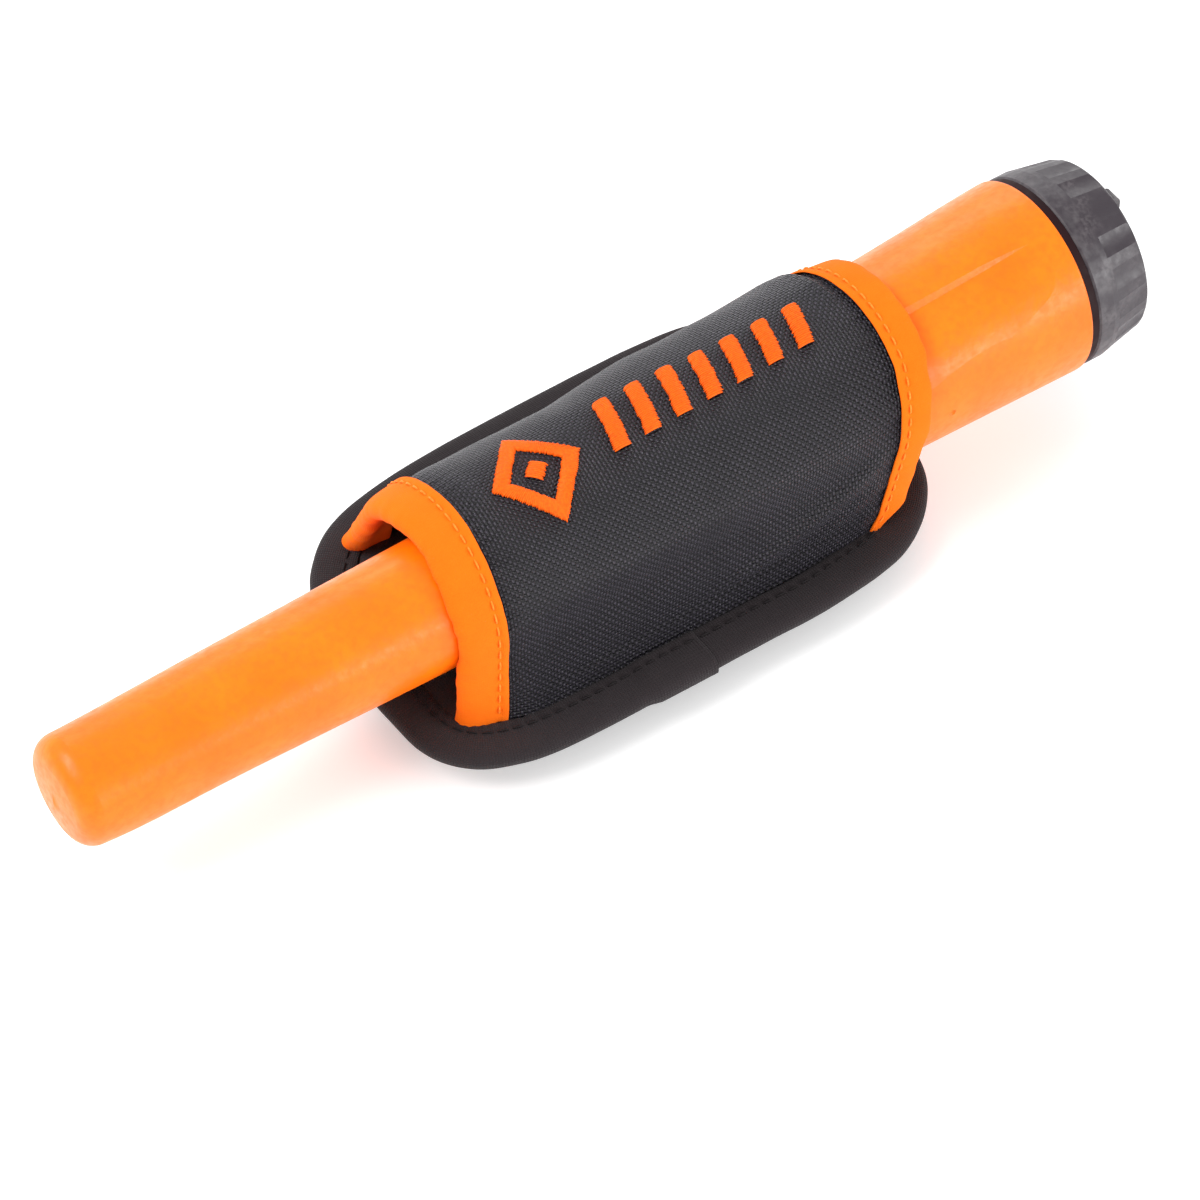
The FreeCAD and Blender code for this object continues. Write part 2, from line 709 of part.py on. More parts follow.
def power_button():
    """A disc that shows, a wider flange that keeps it in, and a plunger down to the switch."""
    body = doc.addObject("PartDesign::Body", "power_button_body")
    body.Placement = on_top(d.button_x, d.probe_y)
    switch_top = d.board_z + d.board_thickness + d.switch_height + d.switch_stem_height
    crest = axis_height(d.button_x) + outer_radius(d.button_x)
    reach = crest - switch_top - d.button_travel - d.plunger_gap

    def disc(name, top, length, radius):
        sketch = sketch_on(body, name, "XY_Plane")
        sketch.AttachmentOffset = Placement(Vector(0, 0, top), Rotation())
        add_circle(sketch, radius)
        return extrude(body, "Pad", sketch, length, backwards=True)

    disc("flange", d.flange_top, "flange_thickness", "button_radius + flange_edge")
    disc("plunger", d.flange_top, str(round(reach + d.flange_top, 3)), "plunger_radius")
    key = disc("key", d.key_height, "key_height - flange_top + flange_thickness / 3", "button_radius")
    round_edges(body, key, "Fillet", "0.8", lambda p: abs(p.z - d.key_height) < 0.01)
    node("power_button", body)

    seal = doc.addObject("PartDesign::Body", "button_seal_body")
    seal.Placement = on_top(d.button_x, d.probe_y)
    ring = sketch_on(seal, "seal_ring_outline", "XY_Plane")
    ring.AttachmentOffset = Placement(Vector(0, 0, -0.75), Rotation())
    add_circle(ring, "button_radius + button_gap")
    add_circle(ring, "button_radius + seal_play")
    extrude(seal, "Pad", ring, "0.8", backwards=True)
    node("button_seal", seal)


# ---- vibration motor -----------------------------------------------------------------------

def vibration_motor():
    can = rod("motor_can", "motor_start_x", "motor_z", "motor_length", "motor_radius")
    bore = rod("motor_bore", "motor_start_x + 2", "motor_z", "motor_length", "shaft_radius + shaft_play")
    node("vibration_motor", cut("vibration_motor", can, bore))
    strip = block("tape_strip", "motor_start_x + 1", "motor_z + 1", "motor_length - 2",
                  "motor_radius * 1.7", "board_z - motor_z - 1")
    saddle = rod("tape_saddle", "motor_start_x", "motor_z", "motor_length", "motor_radius")
    node("motor_tape", cut("motor_tape", strip, saddle))
    shaft = rod("motor_shaft", "motor_start_x + 3", "motor_z", "motor_length + 3", "shaft_radius")
    node("motor_shaft", shaft)
    full = rod("weight_full", "motor_start_x + motor_length + 1", "motor_z", "weight_length", "weight_radius")
    half = block("weight_half", "motor_start_x + motor_length", "motor_z + 1", "weight_length + 2",
                 "weight_radius * 3", "weight_radius * 2")
    hole = rod("weight_hole", "motor_start_x + motor_length", "motor_z", "weight_length + 2", "shaft_radius")
    node("vibration_weight", cut("vibration_weight", full, half, hole))


# ---- battery bay ---------------------------------------------------------------------------

def battery():
    disc = rod("bulkhead_disc", "bay_start_x + 0.1", "seam_z", "bulkhead_thickness", "bulkhead_radius")
    lead_hole = rod("lead_hole", "bay_start_x - 1", "seam_z - 8", "bulkhead_thickness + 4", "2.2")
    node("battery_bulkhead", cut("battery_bulkhead", disc, lead_hole))

    contact_x = "bay_start_x + 0.1 + bulkhead_thickness"
    plate = block("contact_plate", contact_x, "seam_z - 5", "1.2", "20", "10")
    snaps = [rod(f"contact_{i}", f"{contact_x} + 1.2", "seam_z", "contact_length", "3.2",
                 f"probe_y + {across}")
             for i, across in enumerate((-6.35, 6.35))]
    node("battery_contacts", fuse("battery_contacts", plate, *snaps))

    body = new_body("battery", z="seam_z")
    case = polygon_sketch(body, "case_profile", "YZ_Plane", [
        ("-battery_height / 2", "-battery_width / 2"), ("battery_height / 2", "-battery_width / 2"),
        ("battery_height / 2", "battery_width / 2"), ("-battery_height / 2", "battery_width / 2")])
    bind(case, AttachmentOffset__Base__z="battery_start_x")
    pad = extrude(body, "Pad", case, "battery_length")
    doc.recompute()
    corners = body.newObject("PartDesign::Fillet", "battery_corners")
    corners.Base = (pad, [f"Edge{i}" for i, edge in enumerate(pad.Shape.Edges, 1)
                          if abs(edge.Vertexes[0].X - edge.Vertexes[-1].X) > 1])
    bind(corners, Radius="battery_corner")
    node("battery", body)

    terminals = [rod(f"terminal_{i}", "battery_start_x - terminal_length", "seam_z", "terminal_length",
                     radius, f"probe_y + {across}")
                 for i, (across, radius) in enumerate(((-6.35, "4"), (6.35, "2.9")))]
    node("battery_terminals", group("battery_terminals", *terminals))


def battery_leads():
    bulkhead_x = d.bay_start_x + 0.1
    board_end = d.board_start_x + d.board_length
    board_top = d.board_z + d.board_thickness
    wires = []
    for i, across in enumerate((-0.9, 0.9)):
        y = d.probe_y + across
        wires.append(pipe(f"battery_lead_{i}", [
            Vector(bulkhead_x + d.bulkhead_thickness, y, d.seam_z - 8),
            Vector(bulkhead_x - 4.0, y, d.seam_z - 8),
            Vector(bulkhead_x - 4.0, y, board_top + 2.4),
            Vector(board_end - 3.0, y, board_top + 2.4),
            Vector(board_end - 3.0, y, board_top)], 0.6, 1.2))
    node("battery_leads", group("battery_leads", *wires))


# ---- battery cap ---------------------------------------------------------------------------

def battery_cap():
    ring = rod("seal_ring", "seam_x", "seam_z", "seal_thickness", "seal_radius")
    hole = rod("seal_hole", "seam_x - 1", "seam_z", "seal_thickness + 2", "cap_bore_radius")
    node("cap_seal", cut("cap_seal", ring, hole))

    body = new_body("battery_cap", x="seam_x + seal_thickness", z="seam_z")
    length = "(cap_length - seal_thickness)"
    profile = polygon_sketch(body, "cap_profile", "XZ_Plane", [
        ("0", "cap_bore_radius"), ("0", "cap_radius - 0.5"), ("0.5", "cap_radius"), ("3.6", "cap_radius"),
        (length, "cap_end_radius"), (length, "0"), (f"{length} - cap_roof", "0"),
        (f"{length} - cap_roof", "cap_bore_radius - 1.9"), (f"{length} - cap_roof - 4.4", "cap_bore_radius")])
    shell = revolve(body, "Revolution", profile)
    round_edges(body, shell, "Fillet", "cap_round",
                lambda p: p.x > d.cap_length - d.seal_thickness - 0.01 and math.hypot(p.y, p.z) > 10)

    rise = "(flute_radius - flute_depth)"
    deep = sketch_on(body, "flute_deep", "YZ_Plane")
    bind(deep, AttachmentOffset__Base__z=f"{length} + 0.5")
    add_circle(deep, "flute_radius", "0", f"cap_end_radius + {rise}")
    shallow = sketch_on(body, "flute_shallow", "YZ_Plane")
    bind(shallow, AttachmentOffset__Base__z=f"{length} - flute_length")
    add_circle(shallow, "flute_radius", "0", "cap_radius - flute_start_depth + flute_radius")
    flute = loft(body, "SubtractiveLoft", [deep, shallow])
    doc.recompute()
    flutes = body.newObject("PartDesign::PolarPattern", "flutes")
    flutes.Originals = [flute]
    axis = next(f for f in body.Origin.OriginFeatures if f.Role == "X_Axis")
    flutes.Axis = (axis, [""])
    flutes.Angle = 360
    bind(flutes, Occurrences="flute_count")
    body.Tip = flutes

    eye_low, eye_high = "eye_rise - eye_width / 2", "eye_rise + eye_width / 2"
    eye = polygon_sketch(body, "eye_profile", "XZ_Plane", [
        (f"{length} - 0.5", eye_low), (f"{length} + eye_length", eye_low),
        (f"{length} + eye_length", eye_high), (f"{length} - 0.5", eye_high)])
    lug = extrude(body, "Pad", eye, "eye_thickness", midplane=True)
    end_x = d.cap_length - d.seal_thickness + d.eye_length
    round_edges(body, lug, "Fillet", "eye_width / 2 - 0.6",
                lambda p: abs(p.x - end_x) < 0.01 and abs(abs(p.z - d.eye_rise) - d.eye_width / 2) < 0.01)
    eye_hole = sketch_on(body, "eye_hole", "XZ_Plane")
    add_circle(eye_hole, "eye_hole_radius", f"{length} + eye_hole_height", "eye_rise")
    extrude(body, "Pocket", eye_hole, "eye_thickness * 2", midplane=True)
    node("battery_cap", body)

    node("cap_pad", rod("cap_pad", "seam_x + cap_length - cap_roof - pad_thickness", "seam_z",
                        "pad_thickness", "cap_bore_radius - 6"))


# ---- holster back --------------------------------------------------------------------------

def rounded_plate(name, z, thickness, inset):
    """The back panel's outline drawn in by inset, as a plate that stands on z."""
    body = new_body(name, "panel_middle_x", "0", z)
    half_x, half_y = f"(panel_length / 2 - {inset})", f"(panel_width / 2 - {inset})"
    outline = polygon_sketch(body, f"{name}_outline", "XY_Plane", [
        (f"-{half_x}", f"-{half_y}"), (half_x, f"-{half_y}"), (half_x, half_y), (f"-{half_x}", half_y)])
    last = extrude(body, "Pad", outline, thickness)
    reach = d.panel_length / 2 - d.edge_tape_width - 1
    for corner, x_side, y_side in (("corner_near_tip", -1, -1), ("corner_near_cap", 1, -1),
                                   ("corner_far_cap", 1, 1), ("corner_far_tip", -1, 1)):
        doc.recompute()
        rounding = body.newObject("PartDesign::Fillet", f"{name}_{corner}")
        rounding.Base = (last, edges_at(last, lambda p: p.x * x_side > reach and p.y * y_side > reach / 2))
        bind(rounding, Radius=f"{corner} - {inset}")
        last = rounding
    return body


def holster_back():
    foam_z = "panel_bottom_z + back_thickness"
    lining_z = f"{foam_z} + foam_thickness"
    node("panel_back", rounded_plate("panel_back", "panel_bottom_z", "back_thickness", "tape_thickness"))
    node("panel_foam", rounded_plate("panel_foam", foam_z, "foam_thickness", "tape_thickness"))
    node("panel_lining", rounded_plate("panel_lining", lining_z, "lining_thickness", "tape_thickness"))

    layers = "(back_thickness + foam_thickness + lining_thickness)"
    whole = rounded_plate("tape_whole", "panel_bottom_z - tape_thickness",
                          f"{layers} + 2 * tape_thickness", "0")
    panel = rounded_plate("tape_panel", "panel_bottom_z", layers, "tape_thickness")
    middle = rounded_plate("tape_middle", "panel_bottom_z - 5", f"{layers} + 10", "edge_tape_width")
    node("edge_binding", cut("edge_binding", whole, panel, middle))


def belt_loop():
    body = new_body("belt_loop", "loop_middle_x", "0")
    tab = "(loop_length / 2 - loop_tab)"
    bend = "(loop_length / 2 - loop_tab - loop_rise)"
    end = "(loop_length / 2)"
    thick, low = "loop_thickness", "(panel_bottom_z - loop_thickness)"
    lower = [(f"-{end}", low), (f"-{tab}", low), (f"-{bend}", "0"), (bend, "0"), (tab, low), (end, low)]
    upper = [(end, "panel_bottom_z"), (f"{tab} - 0.6", "panel_bottom_z"), (f"{bend} - 0.6", thick),
             (f"0.6 - {bend}", thick), (f"0.6 - {tab}", "panel_bottom_z"), (f"-{end}", "panel_bottom_z")]
    strap = polygon_sketch(body, "strap_profile", "XZ_Plane", lower + upper)
    extrude(body, "Pad", strap, "loop_width", midplane=True)
    node("belt_loop", body)

    tacks = []
    ends = (("tip", "loop_middle_x - loop_length / 2 + 2"),
            ("cap", "loop_middle_x + loop_length / 2 - 4"))
    for end_name, x in ends:
        for side in (-1, 1):
            tacks.append(block(f"tack_{end_name}_{side + 1}", x, "panel_bottom_z - loop_thickness - 0.5",
                               "2", "14", "0.5", f"{side} * 14"))
    node("loop_tacks", group("loop_tacks", *tacks))


# ---- holster front -------------------------------------------------------------------------

def arch_section(x, inset):
    """Outline across the holster at x: from the near foot up round a circle and down to the far foot.

    It closes in a straight line on the lining and leans towards the cap. The inset draws it inwards.
    """
    share = (x - d.shell_start_x) / (d.shell_end_x - d.shell_start_x)
    share = min(1.0, max(0.0, share))
    share = share * share * (3 - 2 * share)
    centre = Vector(0, d.mouth_y + (d.probe_y - d.mouth_y) * share,
                    d.mouth_z + (d.grip_z - d.mouth_z) * share)
    closing = max(0.0, 1 - (x - d.shell_start_x) / d.pinch_length)
    pinch = d.mouth_pinch * closing
    radius = d.mouth_radius + (d.grip_radius - d.mouth_radius) * share - inset - pinch
    foot_z = d.panel_bottom_z + d.back_thickness + d.foam_thickness + d.lining_thickness
    near = Vector(0, d.near_foot_y + inset + d.near_pinch * closing, foot_z)
    far = Vector(0, d.far_foot_y - inset - pinch, foot_z)

    def touch(foot, side):
        """Where the straight side from the foot meets the circle."""
        out = foot - centre
        turn = math.atan2(out.z, out.y) + side * math.acos(radius / out.Length)
        return centre + Vector(0, math.cos(turn), math.sin(turn)) * radius

    near_touch, far_touch = touch(near, -1), touch(far, 1)
    crest = centre + Vector(0, 0, radius)
    wire = Part.Wire([Part.makeLine(near, near_touch), Part.Arc(near_touch, crest, far_touch).toShape(),
                      Part.makeLine(far_touch, far), Part.makeLine(far, near)])
    wire.rotate(Vector(0, 0, foot_z), Y_AXIS, d.mouth_lean + (d.grip_lean - d.mouth_lean) * share)
    wire.translate(Vector(x, 0, 0))
    return wire


def arch_solid(start, end, inset, count=6):
    """The space under the arches from start to end."""
    stations = [start + (end - start) * i / (count - 1) for i in range(count)]
    return Part.makeLoft([arch_section(x, inset) for x in stations], True, False)


def feature(name, shape):
    thing = doc.addObject("Part::Feature", name)
    thing.Shape = shape
    return node(name, thing)


def holster_front():
    start, end, spare = d.shell_start_x, d.shell_end_x, 3.0
    skin, lining, tape = d.shell_thickness, d.shell_lining_thickness, d.mouth_tape_thickness
    doc.recompute()
    edge_tape = parts["edge_binding"].Shape
    outside = arch_solid(start, end, 0)
    under_skin = arch_solid(start - spare, end + spare, skin)
    under_lining = arch_solid(start - spare, end + spare, skin + lining)
    feature("front_shell", outside.cut(under_skin).cut(edge_tape))
    feature("shell_lining", outside.common(under_skin).cut(under_lining).cut(edge_tape))

    layers = outside.cut(under_lining)
    under_tape = arch_solid(start - spare, end + spare, skin + lining + tape)

    def binding(low, high):
        """Tape folded over the edge of both layers, sewn down on the black tape at its feet."""
        return arch_solid(low, high, -tape, 4).cut(under_tape).cut(layers).cut(edge_tape)

    feature("tip_end_binding", binding(start - tape, start + d.mouth_tape_width - tape))
    feature("cap_end_binding", binding(end + tape - d.grip_tape_width, end + tape))


# ---- build, check and write ----------------------------------------------------------------

def check(things):
    for thing in doc.Objects:
        if "Invalid" in thing.State or "Error" in thing.State:
            raise RuntimeError(f"{thing.Name} did not recompute: {thing.State}")
    for name, thing in things.items():
        shape = thing.Shape
        if shape.isNull() or not shape.isValid() or not shape.Solids:
            raise RuntimeError(f"{name} has no valid solid")


def write(things):
    os.makedirs("parts", exist_ok=True)
    for name, thing in things.items():
        thing.Shape.exportStep(f"parts/{name}.step")
        box = thing.Shape.BoundBox
        print(f"{name:18s} solids {len(thing.Shape.Solids)}  volume {thing.Shape.Volume:9.1f}"
              f"  x {box.XMin:7.1f} {box.XMax:7.1f}  y {box.YMin:6.1f} {box.YMax:6.1f}"
              f"  z {box.ZMin:5.1f} {box.ZMax:5.1f}")


for make in (housing_shell, search_coil, coil_leads, carrier, circuit_board, lamp_window, power_button,
             vibration_motor, battery, battery_leads, battery_cap, holster_back, belt_loop, holster_front):
    make()
doc.recompute()
check(parts)
write(parts)
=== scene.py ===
import json
import math
import random

import bmesh
import bpy
import numpy as np
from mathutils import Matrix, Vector, noise
from numpy.linalg import norm


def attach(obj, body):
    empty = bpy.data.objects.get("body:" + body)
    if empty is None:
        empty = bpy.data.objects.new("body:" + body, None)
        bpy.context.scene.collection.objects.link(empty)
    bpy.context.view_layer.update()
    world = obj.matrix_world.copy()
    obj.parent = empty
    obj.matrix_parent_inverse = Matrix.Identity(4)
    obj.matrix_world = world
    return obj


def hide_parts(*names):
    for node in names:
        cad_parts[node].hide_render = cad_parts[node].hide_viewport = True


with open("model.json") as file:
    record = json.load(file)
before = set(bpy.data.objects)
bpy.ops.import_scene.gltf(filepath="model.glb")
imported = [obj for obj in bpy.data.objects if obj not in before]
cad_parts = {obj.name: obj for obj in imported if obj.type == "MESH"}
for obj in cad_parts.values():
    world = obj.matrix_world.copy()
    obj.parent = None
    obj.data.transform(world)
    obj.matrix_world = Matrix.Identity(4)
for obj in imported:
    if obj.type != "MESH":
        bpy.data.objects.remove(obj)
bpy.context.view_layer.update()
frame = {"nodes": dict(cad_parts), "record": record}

# Looks of the pinpointer probe in its belt holster. Shapes are worked out in millimetres in the
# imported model's frame, and made in metres.

MM = 0.001
random.seed(7)


# ---- camera and light ----

# The photo's viewing angle: 34.3 degrees round towards the tip and 50.4 above the floor.
VIEW_BACK = (-0.3593, -0.5259, 0.7709)
VIEW_CENTRE, VIEW_DISTANCE = (-0.0025, 0.0, 0.0), 1.0  # metres
LENS, SENSOR = 156.34, 36.0
SHIFT_X, SHIFT_Y = 0.0233, -0.0124
# Each light's place and aim in metres, its size and its power in watts.
LIGHTS = {
    "key": ((-0.55, 0.25, 0.85), (0, 0, 0.02), (0.7, 0.5), 8.0),
    "fill": ((0.62, -0.84, 0.28), (0, 0, 0.03), (0.9, 0.12), 6.5),
    "back": ((0.55, 0.8, 0.5), (0, 0, 0.02), (0.8, 0.4), 2.5),
}
WORLD_STRENGTH = 0.82


def add_object(name, data):
    thing = bpy.data.objects.new(name, data)
    bpy.context.scene.collection.objects.link(thing)
    return thing


def camera():
    data = bpy.data.cameras.new("camera")
    data.sensor_width, data.lens = SENSOR, LENS
    data.shift_x, data.shift_y = SHIFT_X, SHIFT_Y
    data.clip_end = 10.0
    thing = add_object("camera", data)
    back = Vector(VIEW_BACK).normalized()
    thing.location = Vector(VIEW_CENTRE) + back * VIEW_DISTANCE
    thing.rotation_euler = (-back).to_track_quat("-Z", "Y").to_euler()
    bpy.context.scene.camera = thing


def studio():
    world = bpy.data.worlds.new("studio")
    world.use_nodes = True
    background = world.node_tree.nodes["Background"]
    background.inputs["Color"].default_value = (1.0, 1.0, 1.0, 1)
    background.inputs["Strength"].default_value = WORLD_STRENGTH
    bpy.context.scene.world = world
    bpy.context.scene.view_settings.view_transform = "Standard"
    for name, (place, aim, size, power) in LIGHTS.items():
        data = bpy.data.lights.new(name, "AREA")
        data.shape = "RECTANGLE"
        data.size, data.size_y = size
        data.energy = power
        thing = add_object(name, data)
        thing.location = place
        thing.rotation_euler = (Vector(aim) - Vector(place)).to_track_quat("-Z", "Y").to_euler()


camera()
studio()


# ---- materials ----

class Look:
    """A procedural material. Its coordinates are in millimetres."""

    def __init__(self, name, colour, roughness, **sockets):
        self.material = bpy.data.materials.new(name)
        self.material.use_nodes = True
        self.nodes = self.material.node_tree.nodes
        self.links = self.material.node_tree.links
        self.shader = self.nodes["Principled BSDF"]
        self.shader.inputs["Base Color"].default_value = (*colour, 1)
        self.shader.inputs["Roughness"].default_value = roughness
        for socket, amount in sockets.items():
            self.shader.inputs[socket.replace("_", " ")].default_value = amount
        place = self.nodes.new("ShaderNodeTexCoord")
        self.solid = self.vector_scale(place.outputs["Object"], 1000.0)
        self.flat = place.outputs["UV"]

    def put(self, value, socket):
        if isinstance(value, bpy.types.NodeSocket):
            self.links.new(value, socket)
        else:
            socket.default_value = value

    def add(self, kind, output, **inputs):
        """The output of a new node whose inputs are set or linked."""
        node = self.nodes.new("ShaderNode" + kind)
        for name, value in inputs.items():
            self.put(value, node.inputs[name.replace("_", " ")])
        return node.outputs[output]

    def math(self, kind, a, b=0.0):
        node = self.nodes.new("ShaderNodeMath")
        node.operation = kind
        self.put(a, node.inputs[0])
        self.put(b, node.inputs[1])
        return node.outputs[0]

    def times(self, *values):
        product = values[0]
        for value in values[1:]:
            product = self.math("MULTIPLY", product, value)
        return product

    def vector_scale(self, vector, scale):
        scale = scale if hasattr(scale, "__len__") else (scale,) * 3
        return self.add("Mapping", "Vector", Scale=scale, Vector=vector)

    def noise(self, pitch, detail=2.0, vector=None, stretch=(1, 1, 1)):
        """Noise between 0 and 1 whose bumps are about pitch millimetres apart."""
        place = self.vector_scale(vector or self.solid, tuple(s / pitch for s in stretch))
        return self.add("TexNoise", "Fac", Scale=1.0, Detail=detail, Vector=place)

    def spread(self, value, low, high, out_low=0.0, out_high=1.0):
        """The value with low to high spread over out_low to out_high."""
        return self.add("MapRange", "Result", Value=value, From_Min=low, From_Max=high,
                        To_Min=out_low, To_Max=out_high)

    def mix(self, share, first, second):
        """The first colour where share is 0, the second where it is 1."""
        node = self.nodes.new("ShaderNodeMix")
        node.data_type = "RGBA"
        self.put(share, node.inputs["Factor"])
        for value, socket in ((first, node.inputs["A"]), (second, node.inputs["B"])):
            self.put(value if isinstance(value, bpy.types.NodeSocket) else (*value, 1), socket)
        return node.outputs["Result"]

    def separate(self, vector):
        node = self.nodes.new("ShaderNodeSeparateXYZ")
        self.links.new(vector, node.inputs[0])
        return node.outputs

    def colour(self, value):
        self.put(value, self.shader.inputs["Base Color"])

    def rough(self, value):
        self.put(value, self.shader.inputs["Roughness"])

    def bump(self, *layers):
        """Each layer is a height from 0 to 1 and its depth in millimetres."""
        below = {}
        for height, depth in layers:
            below["Normal"] = self.add("Bump", "Normal", Strength=1.0, Distance=depth * MM,
                                       Height=height, **below)
        self.links.new(below["Normal"], self.shader.inputs["Normal"])

    def weave(self, pitch, across=None, vector=None):
        """Height of a plain weave with yarns that far apart, and which yarn is on top."""
        place = self.separate(vector or self.flat)
        waves = [self.math("SINE", self.times(place[i], math.pi / step))
                 for i, step in enumerate((pitch, across or pitch))]
        over = self.math("GREATER_THAN", self.times(*waves), 0.0)
        u, v = (self.math("ABSOLUTE", wave) for wave in waves)

        def yarn(round_way, long_way):
            crown = self.math("POWER", round_way, 0.7)
            bow = self.math("ADD", self.times(long_way, 0.5), 0.5)
            return self.times(crown, bow)

        warp, weft = yarn(u, v), yarn(v, u)
        return self.add("Mix", "Result", Factor=over, A=weft, B=warp), over


def moulded(name, colour, shade, roughness, grain=0.35, depth=0.015, **sockets):
    """Moulded plastic: a fine grain, faint flow marks and patchy gloss."""
    look = Look(name, colour, roughness, **sockets)
    patches = look.spread(look.noise(9.0, 3.0), 0.35, 0.7)
    look.colour(look.mix(patches, colour, shade))
    look.rough(look.spread(look.noise(2.2, 3.0), 0.3, 0.7, roughness - 0.07, roughness + 0.08))
    look.bump((look.noise(grain, 2.0), depth))
    return look.material


def housing_orange():
    """Orange housing, mottled like the real moulding, with faint scuffs along it."""
    look = Look("orange_moulding", (1.0, 0.17, 0.002), 0.34, Specular_IOR_Level=0.3)
    mottle = look.spread(look.noise(1.6, 4.0), 0.38, 0.66)
    cloud = look.spread(look.noise(14.0), 0.35, 0.65)
    base = look.mix(cloud, (1.0, 0.17, 0.001), (1.0, 0.2, 0.002))
    look.colour(look.mix(look.times(mottle, 0.45), base, (0.96, 0.135, 0.001)))
    scuff = look.spread(look.noise(1.1, 3.0, stretch=(0.12, 1, 1)), 0.55, 0.8)
    gloss = look.spread(mottle, 0, 1, 0.3, 0.42)
    look.rough(look.math("ADD", gloss, look.times(scuff, 0.12)))
    look.bump((look.noise(1.3, 3.0), 0.05), (look.noise(0.35, 2.0), 0.012))
    return look.material


def cap_grey():
    """Dark plastic, dusty in patches and a little worn along the edges of its grips."""
    look = Look("dark_moulding", (0.03, 0.022, 0.029), 0.48)
    edges = look.add("NewGeometry", "Pointiness")
    rubbed = look.spread(look.noise(2.2, 3.0), 0.4, 0.7)
    wear = look.times(look.spread(edges, 0.52, 0.58), rubbed)
    cloud = look.spread(look.noise(6.0, 2.0), 0.48, 0.75)
    grains = look.spread(look.noise(0.9, 3.0), 0.35, 0.65)
    dust = look.times(cloud, grains)
    body = look.mix(dust, (0.03, 0.022, 0.029), (0.08, 0.067, 0.074))
    look.colour(look.mix(look.times(wear, 0.6), body, (0.13, 0.12, 0.125)))
    look.rough(look.spread(look.noise(1.5, 3.0), 0.3, 0.7, 0.36, 0.52))
    look.bump((look.noise(0.7, 3.0), 0.02))
    return look.material


def shell_weave():
    """Coarse coated nylon: thick dark yarns, with painted shade where one yarn lies on top and a painted
    glint on the crowns of the other.
    """
    look = Look("ballistic_nylon", (0.008, 0.007, 0.009), 0.42, Sheen_Weight=0.035, Sheen_Roughness=0.4,
                Specular_IOR_Level=0.4)
    look.shader.inputs["Sheen Tint"].default_value = (0.75, 0.65, 1.0, 1)
    height, over = look.weave(0.73)
    crown = look.spread(height, 0.35, 0.9)
    # Painted shade and light: much darker where one yarn lies on top than where the other does, though both
    # yarns are the same colour.
    painted_yarn_shading = look.mix(over, (0.0015, 0.001, 0.002), (0.008, 0.0065, 0.01))
    # Painted glint on the crowns of the yarn on top where over is 1, stronger and weaker in random patches.
    glint_strength = look.spread(look.noise(7.0, 3.0), 0.35, 0.65, 0.5, 1.0)
    painted_glint_mask = look.times(crown, over, glint_strength)
    painted_glint = look.mix(painted_glint_mask, painted_yarn_shading, (0.046, 0.0395, 0.054))
    faded = look.spread(look.noise(11.0), 0.35, 0.65, 0.0, 0.12)
    look.colour(look.mix(faded, painted_glint, (0.011, 0.0095, 0.0135)))
    look.rough(look.spread(crown, 0, 1, 0.62, 0.24))
    strands = look.noise(0.16, 1.0, look.flat, (1, 0.2, 1))
    look.bump((height, 0.5), (strands, 0.02))
    return look.material


def cloth(name, colour, shade, pitch, depth, sheen=0.08, solid=False):
    """A finer woven or knitted fabric."""
    look = Look(name, colour, 0.8, Sheen_Weight=sheen, Sheen_Roughness=0.45)
    height = look.weave(pitch, vector=look.solid if solid else look.flat)[0]
    lighter_patches = look.times(look.spread(look.noise(6.0, 3.0), 0.3, 0.7), 0.5)
    # Painted shade and highlight: darker in the gaps between yarns and lighter on their crowns; the lighter
    # patches are random.
    look.colour(look.mix(look.math("ADD", lighter_patches, look.times(height, 0.3)), shade, colour))
    look.bump((height, depth), (look.noise(0.6, 3.0), depth * 0.6))
    return look.material


def binding_tape(name, colour, shade, rib, depth, roughness, sheen):
    """Binding tape: ribs across it, a soft nap and slight fading."""
    look = Look(name, colour, roughness, Sheen_Weight=sheen, Sheen_Roughness=0.5, Specular_IOR_Level=0.15)
    along, across = look.separate(look.flat)[:2]
    ribs = look.math("ABSOLUTE", look.math("SINE", look.times(along, math.pi / rib)))
    rows = look.math("ABSOLUTE", look.math("SINE", look.times(across, math.pi / (rib * 0.7))))
    knit = look.times(look.math("POWER", ribs, 0.6), look.math("ADD", rows, 0.5))
    nap = look.noise(0.5, 4.0)
    patch = look.spread(look.noise(5.0, 3.0), 0.3, 0.7)
    shaded = look.mix(look.times(nap, 0.45), colour, shade)
    look.colour(look.mix(look.times(patch, 0.3), shaded, shade))
    look.bump((knit, depth), (nap, depth))
    return look.material


def thread(name, colour, shade, sheen):
    """Twisted sewing thread."""
    look = Look(name, colour, 0.6, Sheen_Weight=sheen, Sheen_Roughness=0.4, Specular_IOR_Level=0.2)
    spiral = look.noise(0.5, 2.0)
    look.colour(look.mix(look.spread(spiral, 0.3, 0.7), colour, shade))
    look.bump((spiral, 0.05))
    return look.material


def webbing():
    """Flat woven webbing: bold ribs across the strap, finer yarns along it."""
    look = Look("strap_webbing", (0.03, 0.03, 0.033), 0.7, Sheen_Weight=0.3, Sheen_Roughness=0.5)
    height = look.weave(1.5, 1.0)[0]
    # Painted shade and highlight: darker in the gaps between yarns and paler on their crowns.
    look.colour(look.mix(height, (0.012, 0.012, 0.013), (0.045, 0.044, 0.048)))
    look.bump((height, 0.3), (look.noise(0.4, 3.0), 0.05))
    return look.material


def metal(name, colour, roughness, brushed=(1, 1, 1)):
    look = Look(name, colour, roughness, Metallic=1.0)
    streaks = look.noise(0.6, 3.0, stretch=brushed)
    look.rough(look.spread(streaks, 0.3, 0.7, roughness - 0.08, roughness + 0.12))
    look.colour(look.mix(look.noise(4.0), colour, tuple(c * 0.8 for c in colour)))
    look.bump((streaks, 0.01))
    return look.material


WIRE_PITCH = 0.5


